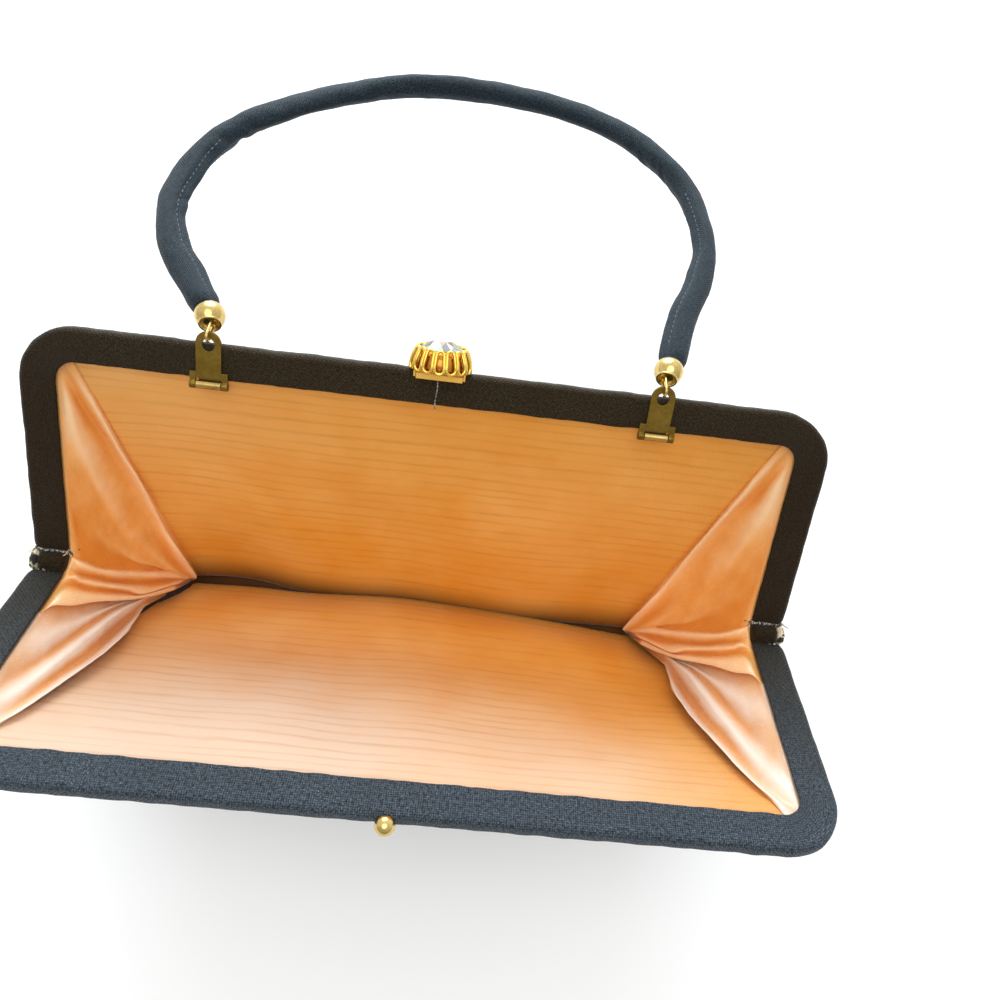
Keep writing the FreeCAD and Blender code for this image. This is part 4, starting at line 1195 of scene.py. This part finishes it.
def seamLine(hand, side, t):
    # seam between a panel and a gusset from the frame's corner down; hand is 1 on the right
    mirror = np.array([hand, 1, 1])
    top = barEdge(lining["mouth"], 9, side)[0] * mirror
    foot = np.array(lining["tips"][hand]) + lining["seamFoot"][side] * mirror
    bow = np.array(lining["seamBow"][side]) * mirror
    t = np.asarray(t)[:, None]
    return top * (1 - t) + foot * t + bow * 4 * t * (1 - t)


def patch(top, foot, first, last):
    # surface through four edges: top and foot across, first and last down
    t = np.linspace(0, 1, len(first))[:, None, None]
    u = np.linspace(0, 1, len(top))[None, :, None]
    ruled = top[None] * (1 - t) + foot[None] * t
    sides = first[:, None] * (1 - u) + last[:, None] * u
    corners = (top[0] * (1 - u) + top[-1] * u) * (1 - t) + (foot[0] * (1 - u) + foot[-1] * u) * t
    return ruled + sides - corners


def panelLining(name, side, seed):
    count, rows = lining["columns"], lining["rows"]
    t = np.linspace(0, 1, rows)
    u = np.linspace(0, 1, count)
    mouth = barEdge(lining["mouth"], count, side)
    under = np.interp(t, lining["underPlaces"], lining["under"][side])[:, None] * [1, 0, 0]
    right = seamLine(1, side, t) + under
    left = seamLine(-1, side, t) - under
    x = right[-1, 0] + (left[-1, 0] - right[-1, 0]) * u
    foot = np.stack([x, smoothLine(x, lining["foot"][side]), np.full(count, lining["footZ"][side])], axis=-1)
    foot = foot + (right[-1] - foot[0]) * (1 - u[:, None]) ** 6 + (left[-1] - foot[-1]) * u[:, None] ** 6
    points = patch(mouth, foot, right, left)
    # sags between its edges, a little unevenly
    down, across = np.meshgrid(t, 2 * u - 1, indexing="ij")
    free = np.sin(math.pi * down) ** 0.8 * (1 - across ** 8)
    sway = lining["sway"] * softNoise(points, lining["swaySize"], seed)
    ripple = lining["ripple"] * softNoise(points, lining["rippleSize"], seed + 1)
    bulge = (lining["sag"] + sway + ripple) * free
    if side < 0:  # the front panel rises over the fold at the bottom
        rise = lining["foldRise"] * hump(down, lining["foldPlace"], lining["foldWidth"])
        bulge = bulge - rise * (1 - across ** 4)
    points = points + np.array(lining["outward"]) * [1, side, 1] * bulge[..., None]
    if side < 0:
        points = np.concatenate([points, [points[-1] + step for step in lining["hem"]]])
    tucked = barEdge(lining["tuck"], count, side)
    points = np.concatenate([[tucked, 0.5 * (tucked + mouth)], points]) * mm
    return gridPiece(name, points, distanceUv(points)[..., ::-1], flip=side < 0)


def bendWithFrame(obj):
    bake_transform(obj)


def clothPiece(obj, material, replaced, thickness):
    # gives a cloth its thickness and finish, and returns its one-sided area
    area = sum(p.area for p in obj.data.polygons)
    thicken(obj, thickness)
    finishPiece(obj, material, None, replaced)
    print(obj.name, "is cut from", round(area * 1e4, 1), "square centimetres")
    return area


for side, half, cloth in ((1, "back", liningTwill), (-1, "front", fadedTwill)):
    obj = panelLining(half + "Lining", side, 50 + side)
    area = clothPiece(obj, cloth, [half + "_lining"], lining["thickness"])
    bendWithFrame(obj)

gusset = {
    "steps": 10, "rows": 120, "thickness": 0.3, "wrinkle": 0.16, "wrinkleSize": 13, "fineWrinkle": 0.45,
    "fineSize": 5.5, "depth": 1.35, "inward": (-0.84, 0, 0.43), "sideLean": 0.32,
    "relief": 1.1, "reliefReach": 24, "reliefBlur": 11.0, "reliefLimits": (-0.85, 0.9),
    "turnedUnder": (-1.2, -1.6, -1.9), "curl": (0.12, 0.5, 1.0),
    "hinge": (2.0, 0, 3.0), "hem": (0.4, 0.5, -0.3), "sink": (1.2, -1.0, -0.8), "below": (2.6, 0.4, -3.4),
    "flat": {1: (0.070, 0.105), -1: (0.055, 0.100)},
}
# lines along the folds from the frame to the tip: place round the arms from the back corner to the front
# corner, share of the way to the tip, height over the flat cloth; places and shares were worked out from
# points picked on the photograph, and most heights are chosen
gussetFolds = {
    "backSeam": ((0.005, 0, -0.2), (0, 0.14, -0.2), (0, 0.3, -0.2), (0, 0.5, -0.2),
                 (0, 0.67, -0.2), (0, 0.83, -0.2), (0, 0.98, -0.2)),
    "rollCrest": ((0.02, 0, 0.2), (0.02, 0.14, 1.5), (0.025, 0.3, 1.9), (0.025, 0.49, 2),
                  (0.045, 0.66, 1.3), (0.09, 0.81, 2.9), (0, 0.97, 1.4)),
    "rollFoot": ((0.03, 0, -0.2), (0.045, 0.14, -0.7), (0.045, 0.29, -0.3), (0.075, 0.46, -0.3),
                 (0.145, 0.62, -0.3), (0.25, 0.76, -0.4), (0.36, 0.95, 0.2)),
    "backUpper": ((0.05, 0, 0), (0.12, 0.06, 1.3), (0.19, 0.17, 0.7), (0.255, 0.32, -0.3),
                  (0.34, 0.5, -0.5), (0.37, 0.68, -0.4), (0.455, 0.92, 0.2)),
    "backMiddle": ((0.14, 0, 0), (0.225, 0.05, -0.9), (0.28, 0.18, -1.3), (0.35, 0.33, -1.2),
                   (0.42, 0.51, -1), (0.425, 0.7, -0.6), (0.485, 0.9, 0.2)),
    "backLower": ((0.325, 0, 0), (0.375, 0.04, -0.6), (0.4, 0.16, -1), (0.435, 0.31, -1.1),
                  (0.465, 0.49, -1.1), (0.455, 0.69, -0.8), (0.485, 0.89, 0.2)),
    "bundleTop": ((0.485, 0, 0), (0.49, 0.09, -0.3), (0.495, 0.24, -0.5), (0.49, 0.46, -0.7),
                  (0.48, 0.66, -0.9), (0.415, 0.81, -0.9), (0.465, 0.88, 0.3)),
    "firstFold": ((0.495, 0, 0.2), (0.5, 0.04, 1.7), (0.505, 0.18, 2.3), (0.505, 0.38, 2.3),
                  (0.5, 0.56, 2.2), (0.495, 0.72, 2), (0.49, 0.88, 1.2)),
    "firstDip": ((0.505, 0, 0), (0.51, 0.07, 0.5), (0.515, 0.22, 0.6), (0.525, 0.38, 0.7),
                 (0.535, 0.54, 0.7), (0.525, 0.7, 0.7), (0.505, 0.87, 0.9)),
    "secondFold": ((0.515, 0, 0.4), (0.515, 0.04, 2.2), (0.53, 0.17, 2.9), (0.55, 0.3, 3.2),
                   (0.575, 0.43, 3.4), (0.635, 0.58, 3.4), (0.585, 0.8, 2.2)),
    "secondDip": ((0.525, 0, 0.2), (0.53, 0.06, 1), (0.555, 0.18, 1.3), (0.575, 0.31, 1.5),
                  (0.605, 0.44, 1.7), (0.66, 0.58, 2), (0.625, 0.78, 1.6)),
    "thirdFold": ((0.575, 0, 0.6), (0.56, 0.02, 2.8), (0.58, 0.13, 3.5), (0.6, 0.25, 3.8),
                  (0.625, 0.38, 4), (0.665, 0.54, 4), (0.68, 0.78, 2.6)),
    "bundleLip": ((0.62, 0, 0.5), (0.605, 0.02, 2), (0.62, 0.13, 2.6), (0.625, 0.26, 2.9),
                  (0.65, 0.4, 3.1), (0.685, 0.54, 3), (0.74, 0.8, 1.8)),
    "underLip": ((0.625, 0, -0.4), (0.58, 0.04, -0.8), (0.585, 0.16, -1), (0.59, 0.29, -1),
                 (0.605, 0.43, -0.8), (0.63, 0.55, -0.4), (0.62, 0.76, -0.6)),
    "frontTop": ((0.635, 0, 0), (0.63, 0.04, -0.4), (0.65, 0.16, -0.6), (0.655, 0.28, -0.6),
                 (0.665, 0.4, -0.4), (0.67, 0.51, -0.2), (0.705, 0.64, -0.6)),
    "frontMiddle": ((0.745, 0, 0), (0.735, 0.04, 0.4), (0.73, 0.14, 0.9), (0.72, 0.25, 1),
                    (0.695, 0.36, 0.8), (0.685, 0.48, 0.6), (0.705, 0.62, 0)),
    "shallow": ((0.845, 0, 0), (0.845, 0.06, -0.5), (0.835, 0.15, -0.6), (0.805, 0.26, -0.5),
                (0.755, 0.36, -0.3), (0.705, 0.48, 0), (0.705, 0.61, 0)),
    "longRidge": ((0.925, 0, 0.1), (0.92, 0.04, 1.2), (0.92, 0.15, 1.9), (0.885, 0.25, 2.2),
                  (0.845, 0.34, 2.4), (0.765, 0.45, 2.4), (0.71, 0.59, 1.4)),
    "pleat": ((0.96, 0, 0), (0.975, 0.07, 0.3), (0.98, 0.17, 0.4), (0.97, 0.32, 0.2),
              (0.975, 0.45, -0.5), (0.925, 0.59, -1.8), (0.765, 0.66, -2)),
    "seamRoll": ((0.985, 0, -0.2), (0.985, 0.07, 1.2), (0.995, 0.16, 2.2), (0.995, 0.32, 2.6),
                 (1, 0.44, 3), (0.955, 0.6, 1.8), (0.83, 0.71, -2.8)),
    "frontSeam": ((0.995, 0, 0.1), (0.995, 0.09, -0.4), (1, 0.19, 0.6), (1, 0.33, 2.2),
                  (1, 0.47, 2), (1, 0.61, 0), (0.82, 0.75, -4.6)),
}


def gussetRim(tuck):
    # edge of the gusset in both right arms' grooves and over the hinge, back corner to front corner
    back = armEdge(tuck, 130, 1)
    front = armEdge(tuck, 130, -1)[::-1]
    low = (back[-1] + front[0]) / 2 - gusset["hinge"]
    steps = np.linspace(0.1, 0.9, 9)
    bridge = [back[-1] * (1 - w) ** 2 + low * 2 * w * (1 - w) + front[0] * w ** 2 for w in steps]
    return np.concatenate([back, bridge, front])


def alongRim(rim, place):
    even = np.linspace(0, 1, len(rim))
    return np.stack([np.interp(place, even, rim[:, k]) for k in range(3)], axis=-1)


def foldLine(fold, rim, tip):
    place, share, height = throughPoints(fold, gusset["rows"]).T
    height = np.where(height < 0, height * smoothStep(share, 0.02, 0.4), height)
    lean = gusset["sideLean"] * np.clip((place - 0.5) * 4, -1, 1)
    inward = np.array(gusset["inward"]) + lean[:, None] * [0, 1, 0]
    flat = alongRim(rim, place) * (1 - share[:, None]) + tip * share[:, None]
    return flat + inward * height[:, None] * gusset["depth"]


def reliefOf(points, inward, t):
    # ridges stand out from the cloth's local average, creases lie behind it
    reach = gusset["reliefReach"]
    kernel = hump(np.arange(-reach, reach + 1), 0, gusset["reliefBlur"])
    padded = np.pad(points @ inward, ((reach, reach), (0, 0)), mode="edge")
    average = np.stack([np.convolve(column, kernel / kernel.sum(), "valid") for column in padded.T], axis=1)
    relief = np.clip((points @ inward - average) / gusset["relief"], *gusset["reliefLimits"])
    return relief * smoothStep(t, 0, 0.12)


def gussetSurface(hand, seed):
    # cloth through the fold lines; made for the right side and mirrored for the left
    mirror = np.array([hand, 1, 1])
    tip = np.array(lining["tips"][hand]) * mirror
    rim, tucked = gussetRim(lining["mouth"]), gussetRim(lining["tuck"])
    lines = [foldLine(fold, rim, tip) for fold in gussetFolds.values()]
    t = np.linspace(0, 1, gusset["rows"])
    hem = seamLine(hand, 1, t) * mirror + gusset["hem"]
    sink = lines[-1] + np.array(gusset["sink"]) * smoothStep(t, 0, 0.1)[:, None]
    lines = np.array([hem] + lines + [sink])
    count = (len(lines) - 1) * gusset["steps"] + 1
    points = throughPoints(lines.reshape(len(lines), -1), count).reshape(count, gusset["rows"], 3)
    free = smoothStep(t, 0.02, 0.2) * (1 - 0.7 * smoothStep(t, 0.85, 1))
    wrinkle = softNoise(points, gusset["wrinkleSize"], seed)
    wrinkle = wrinkle + gusset["fineWrinkle"] * softNoise(points, gusset["fineSize"], seed + 1)
    inward = np.array(gusset["inward"])
    points = points + inward * (gusset["wrinkle"] * wrinkle * free)[..., None]
    # painted shade: the rows that turn under the tip take the dark shadow tint
    under = np.tile(gusset["turnedUnder"], (count, 1))  # dark where the ends turn under
    relief = np.concatenate([np.zeros((count, 1)), reliefOf(points, inward, t), under], axis=1)
    places = throughPoints([[0]] + [fold[0][:1] for fold in gussetFolds.values()] + [[1]], count)[:, 0]
    groove = alongRim(tucked, np.clip(places, 0, 1))
    # the ends run in below the tip
    below = tip + gusset["below"]
    curl = [points[:, -1] * (1 - w) + below * w for w in gusset["curl"]]
    points = np.concatenate([groove[:, None], points, np.stack(curl, axis=1)], axis=1)
    split, pale = ((list(gussetFolds).index(key) + 1) * gusset["steps"] for key in ("firstDip", "underLip"))
    # painted light: the front half takes the paler satin colours
    front = np.repeat(smoothStep(np.arange(count), pale - 2, pale + 2)[:, None], points.shape[1], axis=1)
    return points * mirror * mm, {"relief": relief, "front": front}, split


for hand, word, seed in ((1, "Right", 71), (-1, "Left", 84)):
    surface, tints, split = gussetSurface(hand, seed)
    uv = distanceUv(surface)
    for side, half, low, high in ((1, "back", 0, split + 1), (-1, "front", split, surface.shape[0])):
        obj = gridPiece(half + "GussetLining" + word, surface[low:high], uv[low:high], flip=hand > 0)
        for key, values in tints.items():
            layer = obj.data.attributes.new(key, "FLOAT", "POINT")
            layer.data.foreach_set("value", values[low:high].ravel())
        node = "gusset_lining_" + word.lower()
        area = clothPiece(obj, liningSatin, [node], gusset["thickness"])
        bendWithFrame(obj)


def bottomStrip(look):
    # shallow tray with turned-up ends
    x = np.linspace(look["stripLeft"], look["stripRight"], 130)
    near = smoothLine(x, look["foot"][-1]) - look["stripNear"]
    far = smoothLine(x, look["foot"][1]) + look["stripFar"]
    across, share = np.meshgrid(x, np.linspace(0, 1, 22), indexing="ij")
    y = near[:, None] * (1 - share) + far[:, None] * share
    ends = smoothStep(across, *look["stripTurn"][1]) + 1 - smoothStep(across, *look["stripTurn"][-1])
    wobble = look["stripWobble"] * softNoise(np.stack([across, y], axis=-1), 20, 91)
    points = np.stack([across, y, look["stripZ"] + look["stripRise"] * ends + wobble], axis=-1) * mm
    return gridPiece("bottomLining", points, distanceUv(points), flip=True)


bottomCloth = bottomStrip(lining)
area = clothPiece(bottomCloth, shadedTwill, ["bottom_lining"], lining["thickness"])
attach(bottomCloth, "bag")
print("lining made")


# outside of the bag: two lofted halves, folded ends and a base

bag = {
    "baseHalf": 97.0, "baseDepth": 24.0, "cornerRound": 7.0, "foldIn": 4.0, "swell": 4.6, "endSwell": 2.5,
    "columns": 260, "rows": 70, "thickness": 0.5, "tuck": 1.4, "footZ": 0.9, "panelShare": 0.14,
    "endIn": 1.0, "endRun": 3.0, "seamIn": 2, "barMargin": 1.2, "puckerPlace": 0.02, "puckerWidth": 0.018,
    "pucker": 0.12, "seamRidge": 0.6, "ridgeWidth": 0.003, "wobble": 0.35, "wobbleSize": 45,
    "endLap": 3.0, "endFold": 2.4, "endGap": 1.1, "endTop": 0.055, "endWobble": 0.25,
    "flat": (0.345, 0.124), "endFlat": (0.021, 0.072),
}


def bagTop(side):
    # edge in the frame's groove from the right hinge over the bar to the left hinge
    arm = armEdge(bag["tuck"], 80, side)[::-1]
    bar = barEdge(bag["tuck"], 200, side)
    right = np.concatenate([arm, bar[1:100]])
    whole = np.concatenate([right, (right * [-1, 1, 1])[::-1]])
    step = openUp([[0, purse["shellY"], 0], [0, purse["liningY"], 0]], side) / mm
    return resample(whole + step[0] - step[1], bag["columns"])


def bagBase(side):
    # base outline from the right fold round the corners to the left fold
    long, deep, r = bag["baseHalf"], bag["baseDepth"], bag["cornerRound"]
    right = [(long - bag["foldIn"], 0.0), (long - bag["endIn"], deep - r - bag["endRun"])]
    right += arcPoints((long - r, deep - r), r, 0, 90, 14)
    right = np.array(right + [(0.0, deep)])
    whole = np.concatenate([right, right[::-1][1:] * [-1, 1]])
    return np.stack([whole[:, 0], side * whole[:, 1], np.full(len(whole), bag["footZ"])], axis=-1)


def bagHalf(name, side, seed):
    count = bag["columns"]
    top = bagTop(side)
    base = resample(bagBase(side), 2000)
    # the arms' edge goes to the base's ends, the bar's edge to its long side
    place = np.linspace(0, 1, count)
    inset = bag["seamIn"]
    target = np.array([bag["baseHalf"] - inset, side * (bag["baseDepth"] - inset), bag["footZ"]])
    seam = np.argmin(np.linalg.norm(base - target, axis=1)) / 2000
    nearBar = np.abs(top[: count // 2, 1]) > np.abs(top[:, 1]).max() - bag["barMargin"]
    corner = np.argmax(nearBar) / (count - 1)
    where = np.interp(place, [0, corner, 1 - corner, 1], [0, seam, 1 - seam, 1])
    foot = alongRim(base, where)
    t = np.linspace(0, 1, bag["rows"])
    points = top[None] * (1 - t[:, None, None]) + foot[None] * t[:, None, None]
    down, across = np.meshgrid(t, place, indexing="ij")
    fromSeam = np.minimum(np.abs(across - corner), np.abs(across - (1 - corner)))
    inside = corner + bag["panelShare"]
    onPanel = smoothStep(across, corner, inside) * (1 - smoothStep(across, 1 - inside, 1 - corner))
    onEnd = (1 - smoothStep(across, 0, corner)) + smoothStep(across, 1 - corner, 1)
    full = 4 * down * (1 - down)
    points[..., 1] += side * bag["swell"] * full * onPanel
    points[..., 0] += np.sign(points[..., 0]) * bag["endSwell"] * full * onEnd
    # puckers beside the seams and soft unevenness elsewhere
    pucker = softNoise(np.stack([down * 90, across * 20], axis=-1), 9, seed)
    pucker = pucker * hump(fromSeam, bag["puckerPlace"], bag["puckerWidth"])
    ridge = hump(fromSeam, 0, bag["ridgeWidth"])
    wobble = softNoise(points, bag["wobbleSize"], seed + 1) * full
    rise = bag["pucker"] * pucker + bag["seamRidge"] * ridge + bag["wobble"] * wobble
    outward = np.stack([np.sign(points[..., 0]) * (1 - onPanel), side * (0.3 + 0.7 * onPanel), 0 * down],
                       axis=-1)
    points = (points + outward * rise[..., None]) * mm
    return gridPiece(name, points, distanceUv(points)[..., ::-1], flip=side < 0)


for side, half in ((1, "back"), (-1, "front")):
    obj = bagHalf("bag" + half.title(), side, 101 + side)
    area = clothPiece(obj, bagCloth, [half + "_panel", half + "_board"], bag["thickness"])
    bendWithFrame(obj)


def bagEnd(name, hand):
    # strip folded inwards between the two halves, from under the hinge to the base;
    # its edges lie behind theirs
    top = bagTop(1)[0]
    foot = bagBase(1)[0]
    t = np.linspace(bag["endTop"], 1, 60)[:, None]
    w = np.linspace(-1, 1, 31)[None]
    edge = top[:, None, None] * (1 - t) + foot[:, None, None] * t
    half = edge[1] + bag["endLap"]
    fold = bag["endFold"] * np.sin(math.pi * t) * (1 - np.abs(w)) ** 0.8
    x = edge[0] + bag["endSwell"] * 4 * t * (1 - t) - bag["endGap"] - fold
    points = np.stack(np.broadcast_arrays(hand * x, half * w, edge[2]), axis=-1)
    wobble = bag["endWobble"] * softNoise(points, 14, 130 + hand) * np.sin(math.pi * t)
    points = (points + wobble[..., None] * [1, 0, 0]) * mm
    return gridPiece(name, points, distanceUv(points), flip=hand > 0)


for hand, word in ((1, "Right"), (-1, "Left")):
    obj = bagEnd("bagEnd" + word, hand)
    area = clothPiece(obj, bagCloth, ["gusset_" + word.lower()], bag["thickness"])
    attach(obj, "bag")


def bagBottom():
    # rounded slab of cloth over the base board; the section is a share of the outline and a height
    outline = np.concatenate([bagBase(1)[:, :2], bagBase(-1)[::-1][1:-1, :2]])
    outline = resample(np.concatenate([outline, outline[:1]]), 241)[:-1]
    section = ((0.0, 1.0), (0.9, 1.0), (0.992, 1.0), (1.0, 0.75), (1.002, 0.4), (0.998, 0.1), (0.985, 0.0),
               (0.9, 0.0), (0.0, 0.0))
    rings = [np.column_stack([outline * share, np.full(len(outline), z)]) for share, z in section]
    points = np.array(rings) * mm
    flatUv = np.concatenate([points, points[:, :1]], axis=1)[..., :2] / mm
    obj = gridPiece("bagBottom", points, flatUv, loop=True)
    tidyMesh(obj)
    return obj


finishPiece(bagBottom(), bagCloth, "bag", ["bottom_panel"])
print("bag made")


# stage: pale floor, soft light and the photograph's camera

studio = {
    "floorSize": 6.0, "floorColour": (0.98, 0.98, 0.98), "worldFront": 0.42, "worldBack": 1.15,
    "target": (0, 0, 0.07),
    "window": {"place": (-0.15, 1.25, 0.48), "size": 1.1, "power": 17.0, "colour": (0.84, 0.93, 1.0)},
    "ceiling": {"place": (0.0, -0.1, 1.6), "size": 1.4, "power": 9.6, "colour": (1.0, 0.985, 0.96)},
}


def areaLight(name, target, place, size, power, colour):
    data = bpy.data.lights.new(name, "AREA")
    data.shape = "DISK"
    data.size = size
    data.energy = power
    data.color = colour
    light = addObject(name, data)
    light.location = place
    light.rotation_euler = (Vector(target) - Vector(place)).to_track_quat("-Z", "Y").to_euler()


def buildStage(look):
    half = look["floorSize"] / 2
    corners = [(-half, -half, 0), (half, -half, 0), (half, half, 0), (-half, half, 0)]
    floor = addMesh("floor", corners, [(0, 1, 2, 3)])
    material, tree, shader = newMaterial("floorPaper")
    fillInputs(tree, shader, {"Base Color": (*look["floorColour"], 1), "Roughness": 0.9})
    floor.data.materials.append(material)
    world = bpy.data.worlds.new("studio")
    world.use_nodes = True
    tree = world.node_tree
    # soft light that falls off from the window's side of the room to the other
    view = addNode(tree, "ShaderNodeTexCoord").outputs["Generated"]
    direction = addNode(tree, "ShaderNodeSeparateXYZ", {0: view})
    middle = (look["worldBack"] + look["worldFront"]) / 2
    spread = (look["worldBack"] - look["worldFront"]) / 2
    strength = calc(tree, "MULTIPLY_ADD", direction.outputs["Y"], spread, middle)
    fillInputs(tree, tree.nodes["Background"], {"Color": (1, 1, 1, 1), "Strength": strength})
    scene.world = world
    for name in ("window", "ceiling"):
        areaLight(name, look["target"], **look[name])


photoCamera = {
    "lens": 27.344, "sensor": 36.0, "nearest": 0.01, "place": (0.008958, -0.035037, 0.328573),
    "turn": (15.279, -4.898, 5.189),  # degrees about X, Y and Z
}


def buildCamera(look):
    data = bpy.data.cameras.new("photoCamera")
    data.sensor_width = look["sensor"]
    data.lens = look["lens"]
    data.clip_start = look["nearest"]
    camera = addObject("photoCamera", data)
    turn = Euler([math.radians(angle) for angle in look["turn"]]).to_matrix()
    camera.matrix_world = Matrix.Translation(look["place"]) @ turn.to_4x4()
    scene.camera = camera


buildStage(studio)
buildCamera(photoCamera)
scene.view_settings.view_transform = "Standard"
print("stage and camera ready")
